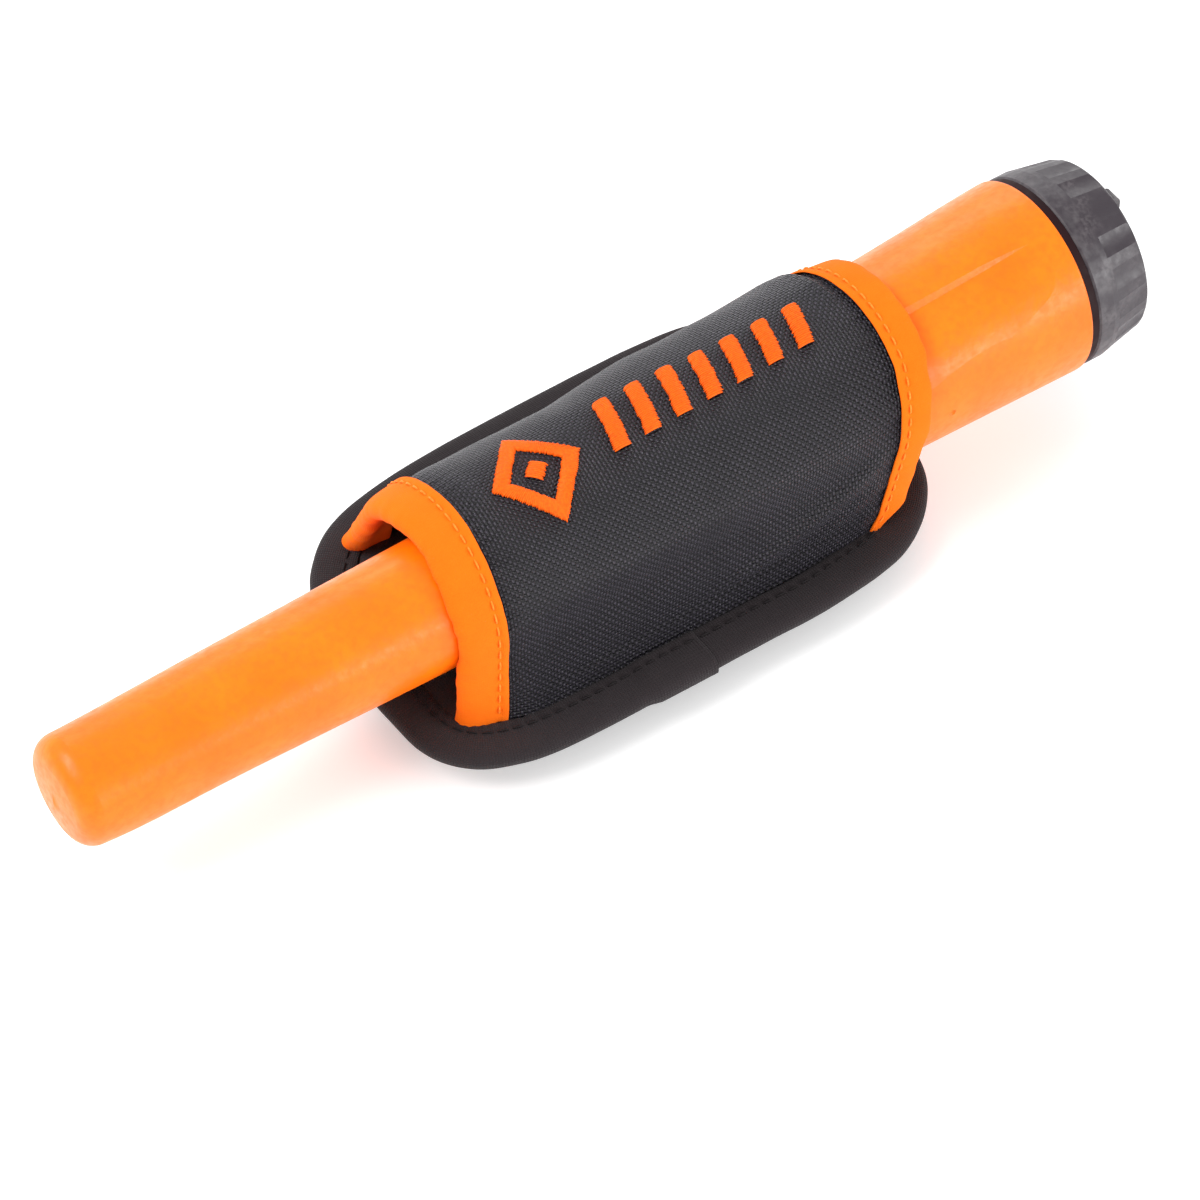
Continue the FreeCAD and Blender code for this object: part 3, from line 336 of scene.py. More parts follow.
def windings():
    """Enamelled copper wire wound round the former: fine rings across X."""
    look = Look("enamelled_wire", (0.6, 0.2, 0.07), 0.3, Metallic=1.0)
    turn = look.math("SINE", look.times(look.separate(look.solid)[0], 2 * math.pi / WIRE_PITCH))
    # Painted highlight and shade: each turn is paler on its crown and darker where it meets the next.
    look.colour(look.mix(look.spread(turn, -1, 1), (0.28, 0.08, 0.03), (0.72, 0.27, 0.1)))
    look.bump((look.spread(turn, -1, 1), 0.12))
    return look.material


def circuit():
    """Green solder mask with lighter tracks under it."""
    look = Look("solder_mask", (0.01, 0.12, 0.04), 0.3)
    tracks = look.add("TexBrick", "Fac", Vector=look.vector_scale(look.solid, 0.25), Mortar_Size=0.04)
    look.colour(look.mix(tracks, (0.008, 0.1, 0.035), (0.02, 0.22, 0.08)))
    look.bump((tracks, 0.03))
    return look.material


def clear(name, colour, roughness):
    look = Look(name, colour, roughness, Transmission_Weight=0.9, IOR=1.49)
    look.rough(look.spread(look.noise(2.0), 0.3, 0.7, roughness, roughness + 0.1))
    look.bump((look.noise(1.5), 0.01))
    return look.material


# Moulded plastics and rubbers: colour, shade, roughness, and grain and depth where they differ.
MOULDED = {
    "button_rubber": ((0.02, 0.02, 0.022), (0.03, 0.03, 0.032), 0.55, 0.35, 0.03),
    "ferrite": ((0.05, 0.05, 0.052), (0.08, 0.08, 0.083), 0.4, 0.35, 0.04),
    "former_plastic": ((0.62, 0.6, 0.52), (0.7, 0.68, 0.6), 0.45),
    "potting_resin": ((0.02, 0.02, 0.025), (0.035, 0.035, 0.04), 0.25),
    "component_black": ((0.02, 0.02, 0.02), (0.035, 0.035, 0.035), 0.45),
    "battery_case": ((0.06, 0.07, 0.1), (0.1, 0.11, 0.14), 0.35),
    "foam_pad": ((0.05, 0.05, 0.05), (0.09, 0.09, 0.09), 0.9, 0.8, 0.3),
    "lead_insulation": ((0.35, 0.015, 0.012), (0.45, 0.02, 0.015), 0.4),
}
LOOKS = {name: moulded(name, *rest) for name, rest in MOULDED.items()}
LOOKS |= {
    "orange_plastic": housing_orange(),
    "dark_plastic": cap_grey(),
    # Very dark: partly the rubber's own colour and partly painted shade of the narrow gap between housing and
    # cap.
    "seal_rubber": moulded(
        "seal_rubber", (0.013, 0.003, 0.004), (0.018, 0.004, 0.005), 0.62, Specular_IOR_Level=0.15),
    "clear_lens": clear("clear_lens", (0.9, 0.93, 0.95), 0.08),
    "woven_nylon": shell_weave(),
    "lining_nylon": cloth("lining_cloth", (0.018, 0.015, 0.017), (0.008, 0.007, 0.008), 0.45, 0.06),
    # Near-black cloth; its reddish tint is painted reflection of the orange parts.
    "panel_nylon": cloth("panel_cloth", (0.032, 0.022, 0.0245), (0.016, 0.011, 0.0125), 0.55, 0.08),
    "foam_sheet": cloth("foam", (0.12, 0.12, 0.12), (0.07, 0.07, 0.07), 0.9, 0.1, sheen=0.3, solid=True),
    # Near-black tape; its reddish tint is painted reflection of the orange parts.
    "black_tape": binding_tape(
        "black_binding", (0.028, 0.0215, 0.0235), (0.017, 0.013, 0.0145), 0.6, 0.1, 0.75, 0.06),
    "orange_tape": binding_tape(
        "orange_binding", (1.0, 0.185, 0.004), (1.0, 0.13, 0.001), 0.5, 0.03, 0.85, 0.02),
    "orange_thread": thread("orange_thread", (1.0, 0.15, 0.002), (0.95, 0.105, 0.001), 0.03),
    "pale_thread": thread("pale_thread", (1.0, 0.3, 0.035), (1.0, 0.19, 0.006), 0.05),
    "black_thread": thread("black_thread", (0.013, 0.0095, 0.0105), (0.007, 0.005, 0.006), 0.02),
    "webbing": webbing(),
    "copper_wire": windings(),
    "circuit_laminate": circuit(),
    "plated_steel": metal("plated_steel", (0.6, 0.6, 0.6), 0.3, (0.1, 1, 1)),
    "lamp_resin": clear("lamp_resin", (0.9, 0.12, 0.05), 0.12),
    "contact_metal": metal("contact_metal", (0.66, 0.6, 0.45), 0.3),
}


# ---- mesh helpers ----

THREAD_TAPER = 0.55  # a thread's end ring, as a share of its radius
STITCH_POINTS = 7
STITCH_SINK = 0.45  # how deep a stitch's ends lie, as a share of its rise


def piece(name, points, faces, slot, flat=None, look=None):
    """A mesh from points in mm. flat gives each point's place on the flat cloth, in mm."""
    data = bpy.data.meshes.new(name)
    data.from_pydata([tuple(p) for p in np.asarray(points, float) * MM], [], [tuple(f) for f in faces])
    data.materials.append(LOOKS[look or slot])
    if flat is not None:
        layer = data.uv_layers.new(name="flat")
        corner = np.zeros(len(data.loops), int)
        data.loops.foreach_get("vertex_index", corner)
        layer.data.foreach_set("uv", np.asarray(flat, float)[corner].ravel())
    data.polygons.foreach_set("use_smooth", [True] * len(data.polygons))
    data.validate()
    shape = bmesh.new()
    shape.from_mesh(data)
    bmesh.ops.recalc_face_normals(shape, faces=shape.faces)
    shape.to_mesh(data)
    shape.free()
    thing = add_object(name, data)
    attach(thing, "holster")
    return thing


def grid_faces(rows, columns, wrap_rows=False, wrap_columns=False):
    """Quads over a grid of points."""
    faces = []
    for i in range(rows if wrap_rows else rows - 1):
        this_row, next_row = i * columns, (i + 1) % rows * columns
        for j in range(columns if wrap_columns else columns - 1):
            k = (j + 1) % columns
            faces.append([this_row + j, this_row + k, next_row + k, next_row + j])
    return faces


def tube_faces(rings, sides):
    """Faces of a tube of rings, closed at both ends."""
    last = (rings - 1) * sides
    ends = [list(range(sides))[::-1], [last + k for k in range(sides)]]
    return grid_faces(rings, sides, wrap_columns=True) + ends


def spline(before, first, second, after, t):
    """The point at share t between first and second of a curve through all four points."""
    return 0.5 * (2 * first + (second - before) * t + (2 * before - 5 * first + 4 * second - after) * t ** 2
                  + (3 * first - before - 3 * second + after) * t ** 3)


def smooth_loop(corners, count):
    """A closed curve through the corners, as count points."""
    corners = np.asarray(corners, float)
    total = len(corners)
    made = []
    for k in range(count):
        at = k * total / count
        i = int(at)
        around = [corners[(i + n) % total] for n in (-1, 0, 1, 2)]
        made.append(spline(*around, at - i))
    return np.array(made)


def distances(points):
    """How far along their line each of the points lies."""
    return np.concatenate([[0], np.cumsum(norm(np.diff(points, axis=0), axis=1))])


def look_up(want, along, points):
    """The points' values at the wanted distances along their line."""
    return np.array([np.interp(want, along, points[:, i]) for i in range(points.shape[1])]).T


def respace(points, count):
    """The points spaced evenly along their line."""
    along = distances(points)
    return look_up(np.linspace(0, along[-1], count), along, points)


def unit(vectors):
    return vectors / norm(vectors, axis=-1, keepdims=True)


def directions(path):
    """Unit vectors along the path."""
    return unit(np.gradient(path, axis=0))


def left_of(ahead):
    """Unit vectors in the plane, turned a quarter to the left."""
    return np.stack([-ahead[:, 1], ahead[:, 0]], axis=1)


def wobble(*place, seed=0.0):
    """Smooth noise between about -1 and 1."""
    place = list(place) + [0.0] * (3 - len(place))
    return noise.noise(Vector(place) + Vector((seed, seed * 1.7, seed * 0.3)))


def heading(angle):
    return np.array([math.cos(angle), math.sin(angle)])


def bell(value, middle, width):
    """1 at the middle, falling off smoothly on both sides."""
    return np.exp(-((value - middle) / width) ** 2)


def ease(share):
    """0 to 1 with a soft start and a soft end."""
    share = np.clip(share, 0.0, 1.0)
    return share * share * (3 - 2 * share)


def normals_of(grid):
    """Unit normals of a grid of points, rows along X and columns round the arch."""
    return unit(np.cross(np.gradient(grid, axis=0), np.gradient(grid, axis=1)))


def tube(path, radius, sides):
    """Points and faces of a thread along the path, closed at its ends."""
    path = np.asarray(path, float)
    ahead = directions(path)
    upright = abs(ahead[:, 2].mean()) >= 0.8
    side = unit(np.cross(ahead, (0.0, 1.0, 0.0) if upright else (0.0, 0.0, 1.0)))
    up = np.cross(side, ahead)
    turn = np.arange(sides) * 2 * math.pi / sides
    size = np.full(len(path), radius)
    size[0] = size[-1] = radius * THREAD_TAPER
    cos, sin = np.cos(turn)[None, :, None], np.sin(turn)[None, :, None]
    ring = path[:, None] + size[:, None, None] * (cos * side[:, None] + sin * up[:, None])
    return ring.reshape(-1, 3), tube_faces(len(path), sides)


def threads(name, paths, radius, slot, sides=6, look=None):
    """Many short threads as one piece."""
    points, faces = [], []
    for path in paths:
        p, f = tube(path, radius, sides)
        faces += [[i + len(points) for i in face] for face in f]
        points += list(p)
    return piece(name, points, faces, slot, look=look)


def stitches(line, up, length, gap, lift):
    """Paths of a row of stitches along the line, each bowed out along up and sunk at its ends."""
    along = distances(line)
    bow = np.sin(np.linspace(0, math.pi, STITCH_POINTS)) ** 0.7 * lift - lift * STITCH_SINK
    paths = []
    start = gap
    while start + length < along[-1]:
        at = np.linspace(start, start + length, STITCH_POINTS)
        paths.append(look_up(at, along, line) + look_up(at, along, up) * bow[:, None])
        start += length + gap
    return paths


# ---- holster front: its shape ----

PANEL_LOW, PANEL_HIGH = 6.8, 9.6
FOOT_Z = PANEL_HIGH
SHELL_START, SHELL_END = -42.6, 58.9
NEAR_FOOT, FAR_FOOT = -27.8, 29.0
MOUTH = (-3.0, 24.4, 21.8)  # y, z and radius of the arch at the tip end
GRIP = (-7.1, 29.8, 21.0)  # and at the cap end
MOUTH_LEAN, GRIP_LEAN = 7.5, 6.0  # degrees
SKIN, LINING = 0.8, 0.4
ARCH_COUNT, ARC_COUNT, HEM_COUNT = 260, 80, 14
AROUND = np.linspace(0, 1, ARCH_COUNT)
# The mouth is drawn together over this length, by that much at most.
PINCH_LENGTH, PINCH_LIMIT = 12.0, 1.4
TOP_PINCH, NEAR_PINCH, FAR_PINCH = 2.6, 4.5, 2.3
# Between the two tapes the hem turns outwards under the black tape.
MOUTH_TAPE_LONG, GRIP_TAPE_LONG = 6.0, 7.0
HEM_WIDE, HEM_TALL, HEM_EASE = 1.0, 4.5, 8.0
# The far side stands out, but not where the cap end grips. Places round the arch are shares of it.
FAR_SLACK, FAR_SLACK_AT, FAR_SLACK_SPREAD, FAR_SLACK_LEAN = 2.2, 0.72, 0.13, 34
FAR_SLACK_START, FAR_SLACK_EASE = -5.0, 20.0
GRIP_START, GRIP_EASE, GRIP_TIGHT = 46.0, 14.0, 1.13
# The mouth's far side lies back towards the cap, and the cap end's near side towards the tip.
MOUTH_SWEEP, NEAR_SWEEP, MOUTH_SWEEP_LONG, MOUTH_SWEEP_ROUND = 6.1, 1.3, 40.0, 0.45
GRIP_SWEEP, GRIP_SWEEP_LONG, GRIP_SWEEP_ROUND = 5.7, 30.0, 0.34
TUCK, TUCK_LONG, TUCK_ROUND = 4.0, 9.0, 0.045
# Axis of the probe's slim part, its radius at the mouth, and the room the tape leaves round it.
PROBE_Y, PROBE_Z = -7.1, 26.7
PROBE_RADIUS, PROBE_ROOM = 12.6, 0.35


def share_along(x):
    return (x - SHELL_START) / (SHELL_END - SHELL_START)


def flare(foot, touch, outwards):
    """The hem's curve: it turns outwards to lie flat under the black tape."""
    flat_end = foot + np.array([outwards, 0.0])
    straight = norm(touch - foot)
    up = foot + (touch - foot) / straight * min(HEM_TALL, 0.8 * straight)
    t = np.linspace(0, 1, HEM_COUNT)[:, None]
    return (1 - t) ** 2 * flat_end + 2 * t * (1 - t) * foot + t ** 2 * up


def arch_outline(x):
    """Points (y, z) of the fabric from the near foot over the top to the far foot."""
    share = ease(share_along(x))
    y, z, radius = (a + (b - a) * share for a, b in zip(MOUTH, GRIP))
    closing = min(PINCH_LIMIT, max(0.0, 1 - (x - SHELL_START) / PINCH_LENGTH) ** 1.5)
    radius -= TOP_PINCH * closing
    centre = np.array([y, z])
    sides = []
    for foot_y, way in ((NEAR_FOOT + NEAR_PINCH * closing, -1), (FAR_FOOT - FAR_PINCH * closing, 1)):
        foot = np.array([foot_y, FOOT_Z])
        out = foot - centre
        turn = math.atan2(out[1], out[0]) + way * math.acos(radius / norm(out))
        sides.append((foot, centre + radius * heading(turn), turn))
    (near, near_touch, start), (far, far_touch, stop) = sides
    start = start if start > 0 else start + 2 * math.pi
    turns = np.linspace(start, stop, ARC_COUNT)
    arc = centre + radius * np.stack([np.cos(turns), np.sin(turns)], axis=1)
    from_tapes = min(x - SHELL_START - MOUTH_TAPE_LONG, SHELL_END - GRIP_TAPE_LONG - x)
    hem = HEM_WIDE * ease(from_tapes / HEM_EASE)
    near_hem, far_hem = flare(near, near_touch, -hem), flare(far, far_touch, hem)
    outline = respace(np.concatenate([near_hem, arc, far_hem[::-1]]), ARCH_COUNT)
    slack = FAR_SLACK * bell(AROUND, FAR_SLACK_AT, FAR_SLACK_SPREAD)
    slack *= ease((x - FAR_SLACK_START) / FAR_SLACK_EASE)
    slack *= 1 - GRIP_TIGHT * ease((x - GRIP_START) / GRIP_EASE)
    return outline + slack[:, None] * heading(math.radians(FAR_SLACK_LEAN))


def arch_row(x):
    """The arch at x in space: it leans, and its ends are swept where the cloth is drawn back."""
    share = ease(share_along(x))
    lean = math.radians(MOUTH_LEAN + (GRIP_LEAN - MOUTH_LEAN) * share)
    outline = arch_outline(x)
    from_end = max(0.0, SHELL_END - x)
    at_mouth = max(0.0, 1 - (x - SHELL_START) / MOUTH_SWEEP_LONG) ** 1.5
    at_grip = max(0.0, 1 - from_end / GRIP_SWEEP_LONG) ** 1.2
    at_tuck = max(0.0, 1 - from_end / TUCK_LONG)
    far_side = ease((AROUND - 1 + MOUTH_SWEEP_ROUND) / MOUTH_SWEEP_ROUND)
    near_side = ease((MOUTH_SWEEP_ROUND - AROUND) / MOUTH_SWEEP_ROUND)
    sweep = at_mouth * (MOUTH_SWEEP * far_side + NEAR_SWEEP * near_side)
    sweep -= at_grip * GRIP_SWEEP * np.maximum(0, 1 - AROUND / GRIP_SWEEP_ROUND)
    sweep -= at_tuck * TUCK * ease((TUCK_ROUND - AROUND) / TUCK_ROUND)
    rise = outline[:, 1] - FOOT_Z
    along = x + rise * math.sin(lean) + sweep
    return np.stack([along, outline[:, 0], FOOT_Z + rise * math.cos(lean)], axis=1)


def shell_grid(stations):
    return np.array([arch_row(x) for x in stations])


def row_and_normal(x):
    """The arch at x and its unit normals."""
    rows = shell_grid([x - 0.5, x, x + 0.5])
    return rows[1], normals_of(rows)[1]


def arch_flat(grid):
    """Each point's place on the flat cloth, and the cloth's size along X and round the arch."""
    along = distances(grid[:, grid.shape[1] // 2])
    around = distances(grid[grid.shape[0] // 2])
    return np.stack(np.meshgrid(along, around, indexing="ij"), axis=2), along[-1], around[-1]


def closed_sheet(name, outer, inner, slot, flat):
    """A cloth of real thickness between two grids."""
    rows, columns = outer.shape[:2]
    count = rows * columns
    outside = [face[::-1] for face in grid_faces(rows, columns)]
    inside = [[count + i for i in face[::-1]] for face in outside]
    index = np.arange(count).reshape(rows, columns)
    rim = np.concatenate([index[:, 0], index[-1, 1:], index[-2::-1, -1], index[0, -2:0:-1]]).tolist()
    edge = [[a, b, count + b, count + a] for a, b in zip(rim, rim[1:] + rim[:1])]
    points = np.concatenate([outer.reshape(-1, 3), inner.reshape(-1, 3)])
    return piece(name, points, outside + inside + edge, slot, np.concatenate([flat.reshape(-1, 2)] * 2))


# ---- holster front: its creases and slack ----

# Soft folds along the near flank: how far above the first one, how wide and how deep.
FOLDS = [(0.0, 0.035, -0.9), (0.075, 0.03, 0.45), (0.15, 0.035, -0.35), (0.22, 0.03, 0.2)]
FIRST_FOLD, FOLD_CLIMB = 0.13, 0.06
CAP_END_SWELL = 1.5  # beside the cap end's tape, on the far side
FAR_SIDE = 0.42, 0.14, 0.94, 0.1  # where the swell starts round the arch, its rise, end and fall
SWELL_RISE, SWELL_FADE = 2.5, 9.0
MOUTH_TAPE_EDGE, GRIP_TAPE_EDGE, SWELL_EDGE = 6.6, 6.4, 6.6
PUCKER_DEPTH, PUCKER_FADE, PUCKER_PITCH = 0.12, 3.0, 6.5
WIDE_SLACK, FINE_SLACK = 0.3, 0.2
FOOT_HELD = 0.08  # the cloth is flat up to this share of the arch from a foot
# The cloth simulation: how much larger the copy is, and the most it may move in and out.
CLOTH_EASE, SETTLE_FRAMES = 0.006, 26
MOST_IN, MOST_OUT = 0.8, 1.8
COARSE_ROWS, COARSE_COLUMNS = 52, 84
HELD_AT_MOUTH, HELD_AT_GRIP, HELD_AT_HEM = 6.0, 5.5, 3


def creases(grid, stations):
    """How far each point of the cloth stands out: slack, folds, and puckers beside the tapes."""
    made = np.zeros(grid.shape[:2])
    columns = grid.shape[1]
    across = np.linspace(0, 1, columns)
    start, rise, end, fall = FAR_SIDE
    far_side = ease((across - start) / rise) * ease((end - across) / fall)
    for i, x in enumerate(stations):
        from_grip = max(0.0, SHELL_END - SWELL_EDGE - x)
        swell = CAP_END_SWELL * ease(from_grip / SWELL_RISE) * math.exp(-from_grip / SWELL_FADE)
        along = share_along(x)
        fold_at = FIRST_FOLD + FOLD_CLIMB * along
        folds = sum(depth * bell(across, fold_at + above, width) for above, width, depth in FOLDS)
        folds *= math.sin(math.pi * min(1.0, max(0.0, along))) ** 0.7
        from_edge = min(x - SHELL_START - MOUTH_TAPE_EDGE, SHELL_END - GRIP_TAPE_EDGE - x)
        pucker = math.exp(-max(from_edge, 0.0) / PUCKER_FADE)
        for j in range(columns):
            px, py, pz = grid[i, j]
            slack = WIDE_SLACK * wobble(px / 26, py / 15, pz / 15)
            slack += FINE_SLACK * wobble(px / 9, py / 7, pz / 7, seed=3)
            slack *= min(1.0, min(j, columns - 1 - j) / columns / FOOT_HELD) * (1 - 0.6 * pucker)
            wave = math.sin(j * 2 * math.pi / PUCKER_PITCH + 3 * wobble(j / 30.0))
            made[i, j] = slack + PUCKER_DEPTH * pucker * wave + swell * far_side[j] + folds[j]
    return made


def settled(grid, stations):
    """How far the cloth moves out of its cut shape when it hangs from its tapes and hems.

    A coarse copy, cut a little larger than its span, is simulated as stiff nylon. Its movement is
    limited so that it never reaches the probe.
    """
    rows = np.linspace(0, grid.shape[0] - 1, COARSE_ROWS).astype(int)
    columns = np.linspace(0, grid.shape[1] - 1, COARSE_COLUMNS).astype(int)
    coarse = grid[np.ix_(rows, columns)]
    data = bpy.data.meshes.new("hanging_cloth")
    points = [tuple(p) for p in coarse.reshape(-1, 3) * MM]
    data.from_pydata(points, [], grid_faces(COARSE_ROWS, COARSE_COLUMNS))
    thing = add_object("hanging_cloth", data)
    held = thing.vertex_groups.new(name="held")
    for i, r in enumerate(rows):
        x = stations[r]
        from_tape = min(x - SHELL_START - HELD_AT_MOUTH, SHELL_END - HELD_AT_GRIP - x)
        for j in range(COARSE_COLUMNS):
            from_hem = min(j, COARSE_COLUMNS - 1 - j) - HELD_AT_HEM
            if from_tape <= 0 or from_hem <= 0:
                held.add([i * COARSE_COLUMNS + j], 1.0, "REPLACE")
    drape = thing.modifiers.new("cloth", "CLOTH")
    drape.settings.quality = 7
    drape.settings.mass = 0.2
    drape.settings.tension_stiffness = drape.settings.compression_stiffness = 25.0
    drape.settings.shear_stiffness = 8.0
    drape.settings.bending_stiffness = 0.6
    drape.settings.shrink_min = -CLOTH_EASE
    drape.settings.vertex_group_mass = "held"
    drape.point_cache.frame_start, drape.point_cache.frame_end = 1, SETTLE_FRAMES
    for frame_number in range(1, SETTLE_FRAMES + 1):
        bpy.context.scene.frame_set(frame_number)
    shape = thing.evaluated_get(bpy.context.evaluated_depsgraph_get()).to_mesh()
    place = np.zeros(len(shape.vertices) * 3)
    shape.vertices.foreach_get("co", place)
    bpy.data.objects.remove(thing)
    bpy.context.scene.frame_set(1)
    moved = ((place.reshape(coarse.shape) / MM - coarse) * normals_of(coarse)).sum(axis=2)
    inwards, outwards = -MOST_IN * np.tanh(-moved / MOST_IN), MOST_OUT * np.tanh(moved / MOST_OUT)
    moved = np.where(moved < 0, inwards, outwards)
    along = look_up(np.arange(grid.shape[0]), rows, moved)
    return look_up(np.arange(grid.shape[1]), columns, along.T).T


stations = np.linspace(SHELL_START, SHELL_END, 150)
skin = shell_grid(stations)
skin = skin + normals_of(skin) * settled(skin, stations)[:, :, None]
skin = skin + normals_of(skin) * creases(skin, stations)[:, :, None]
skin_normal = normals_of(skin)
skin_flat, CLOTH_LONG, CLOTH_ROUND = arch_flat(skin)


def holster_cloth():
    """The woven shell and its coarser lining, each with its own thickness."""
    outer = closed_sheet("shell_cloth", skin, skin - skin_normal * SKIN, "woven_nylon", skin_flat)
    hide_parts("front_shell")
    every_third = (slice(None, None, 3),) * 2
    lining_top = (skin - skin_normal * (SKIN + 0.02))[every_third]
    lining_back = (skin - skin_normal * (SKIN + LINING))[every_third]
    inner = closed_sheet("shell_inner_cloth", lining_top, lining_back, "lining_nylon", skin_flat[every_third])
    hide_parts("shell_lining")


# ---- holster front: its tapes ----

# Section of a tape folded over the cloth's edge: how far in from the edge, and how far out.
MOUTH_SECTION = [
    (6.5, 0.1), (6.6, 0.45), (5.9, 0.66), (5.0, 0.58), (3.9, 0.8), (2.2, 1.05), (0.4, 1.25), (-1.1, 1.0),
    (-2.2, 0.1), (-2.5, -1.1), (-1.9, -2.2), (-0.4, -2.6), (1.8, -2.4), (4.2, -2.1), (7.2, -1.9),
    (7.9, -1.6), (7.2, -1.28), (3.8, -1.3), (1.0, -1.3), (0.0, -1.0), (-0.3, -0.5), (0.2, 0.0),
    (1.8, 0.06), (4.2, 0.06),
]
GRIP_SECTION = [
    (6.4, 0.1), (6.5, 0.4), (5.8, 0.58), (4.8, 0.5), (3.4, 0.6), (1.7, 0.7), (0.3, 0.64), (-0.6, 0.3),
    (-0.9, -0.5), (-0.6, -1.35), (0.4, -1.75), (2.0, -1.75), (4.1, -1.68), (5.0, -1.5), (4.7, -1.26),
    (2.7, -1.26), (1.0, -1.26), (0.1, -0.9), (0.0, -0.5), (0.2, 0.0), (1.5, 0.06), (4.0, 0.06),
]
TAPE_SECTION_COUNT = 72
MOUTH_STITCH_AT, GRIP_STITCH_AT = 4.9, 4.7
MOUTH_STITCH_OUT, GRIP_STITCH_OUT = 0.62, 0.5
STITCH_PITCH, STITCH_SHARE, STITCH_RISE, STITCH_RADIUS = 2.7, 0.72, 0.3, 0.2
STITCH_DIP, STITCH_DIP_WIDE = 0.16, 0.8
SEWN_LOW = 8.8  # the tapes' feet end in the panel at about this height
# Waves of a tape's edge along the arch: how far, how long and the noise's seed.
EDGE_WAVES = ((0.75, 6.5, 0), (0.28, 2.6, 5))
INNER_LEG_DEPTH = -0.6  # from here inwards the section is the tape's inner layer
INNER_LEG_EDGE, INNER_LEG_LONG = -2.5, 10.4


def off_probe(place):
    """Keeps a point of the mouth's tape clear of the probe, which it rests against."""
    out = np.array([place[1] - PROBE_Y, place[2] - PROBE_Z])
    away = norm(out)
    if away < PROBE_RADIUS + PROBE_ROOM:
        place[1:] = np.array([PROBE_Y, PROBE_Z]) + out / away * (PROBE_RADIUS + PROBE_ROOM)
    return place


def in_panel(place):
    """Keeps a point of a tape's foot in the upper part of the panel, which it is sewn to."""
    place[2] += 0.8 * max(0.0, SEWN_LOW - place[2])
    return place


def spread_leg(share):
    """How far the tape's inner layer stands open towards its far foot, share along the arch."""
    return 1.6 * ease((share - 0.6) / 0.25) + 2.2 * ease((share - 0.88) / 0.12)


def folded_tape(name, node_name, section, edge, way, stitch_at, stitch_out, seed):
    """The tape swept along the arch, with a dip at each stitch. way is 1 where the cloth is on +X."""
    loop = smooth_loop(section, TAPE_SECTION_COUNT)
    count, columns = len(loop), ARCH_COUNT
    lengths = None
    grid = np.zeros((count, columns, 3))
    for k, (inward, out) in enumerate(loop):
        row, normal = row_and_normal(edge + way * inward)
        if lengths is None:
            lengths = distances(row)
        outer_layer, inner_layer = out > 0, way > 0 and out < INNER_LEG_DEPTH
        puffed = abs(out) > 1.3 or inward < 0
        follow = way * (1.0 if inward < 3 else 0.35)
        dip_here = STITCH_DIP * bell(inward, stitch_at, STITCH_DIP_WIDE) if outer_layer else 0.0
        for j, s in enumerate(lengths):
            puff = 1 + 0.2 * wobble(s / 5.0, k / 20.0, seed=seed + 9) if puffed else 1
            dip = dip_here * (0.6 + 0.4 * math.cos(2 * math.pi * s / STITCH_PITCH))
            spot = row[j] + normal[j] * (out * puff - dip)
            if inner_layer:
                opened = (inward - INNER_LEG_EDGE) / INNER_LEG_LONG
                spot -= normal[j] * spread_leg(s / lengths[-1]) * opened
            waves = (far * wobble(s / long, seed=seed + more) for far, long, more in EDGE_WAVES)
            spot[0] += follow * sum(waves)
            grid[k, j] = in_panel(off_probe(spot) if way > 0 else spot)
    flat = np.stack(np.meshgrid(distances(loop), lengths, indexing="ij"), axis=2)[:, :, ::-1]
    near_end = [k * columns for k in range(count)]
    far_end = [k + columns - 1 for k in near_end[::-1]]
    faces = grid_faces(count, columns, wrap_rows=True) + [near_end, far_end]
    faces = [face[::-way] for face in faces]
    thing = piece(name, grid.reshape(-1, 3), faces, "orange_tape", flat.reshape(-1, 2))
    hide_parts(node_name)

    row, normal = row_and_normal(edge + way * stitch_at)
    line = (row + normal * stitch_out)[4:-4]
    length, gap = STITCH_PITCH * STITCH_SHARE, STITCH_PITCH * (1 - STITCH_SHARE)
    threads(f"{name}_stitches", stitches(line, normal[4:-4], length, gap, STITCH_RISE),
            STITCH_RADIUS, "orange_thread", look="pale_thread")


# ---- holster back ----

PANEL_MIDDLE, PANEL_HALF_LONG, PANEL_HALF_WIDE = 7.3, 60.5, 38.3
PANEL_MID_Z, PANEL_HALF_THICK = (PANEL_LOW + PANEL_HIGH) / 2, (PANEL_HIGH - PANEL_LOW) / 2
# The cut edge of the panel, anticlockwise from where its tape starts: no two corners are alike.
PANEL_EDGE = [
    (-7, -37.3), (6, -37.4), (17, -37.4), (28, -37.6), (37, -37.0), (44.5, -36.1), (51, -34.5),
    (57, -31.2), (61.5, -27.3), (65, -22.5), (67.2, -16.5), (68, -8), (68, 4), (67.3, 15), (64.5, 24),
    (59, 31), (51, 35.6), (40, 37.3), (26, 37.7), (10, 37.6), (-5, 37.3), (-17, 36.6), (-26.9, 35.2),
    (-33.3, 33.6), (-38.9, 31), (-43.6, 27.1), (-47.6, 22.2), (-50.6, 15), (-52.2, 5), (-52.8, -5),
    (-52.6, -14), (-51.9, -21.8), (-49.2, -27.8), (-44.4, -32.4), (-37.6, -35.3), (-30.7, -36.7),
    (-20, -37.3),
]
OUTLINE_COUNT = 520
PAD_INSET = 0.8  # the pad ends this far inside the tape
PAD_SHARES = [1.0, 0.985, 0.95, 0.9, 0.84, 0.78, 0.7, 0.6, 0.5, 0.4, 0.3, 0.2, 0.1, 0.0]


def panel_outline():
    """The panel's outline, anticlockwise from its near side, and the way inwards at each point."""
    closed = smooth_loop(PANEL_EDGE, 900)
    points = respace(np.concatenate([closed, closed[:1]]), OUTLINE_COUNT + 1)[:-1]
    ahead = np.roll(points, -1, axis=0) - np.roll(points, 1, axis=0)
    return points, left_of(unit(ahead))


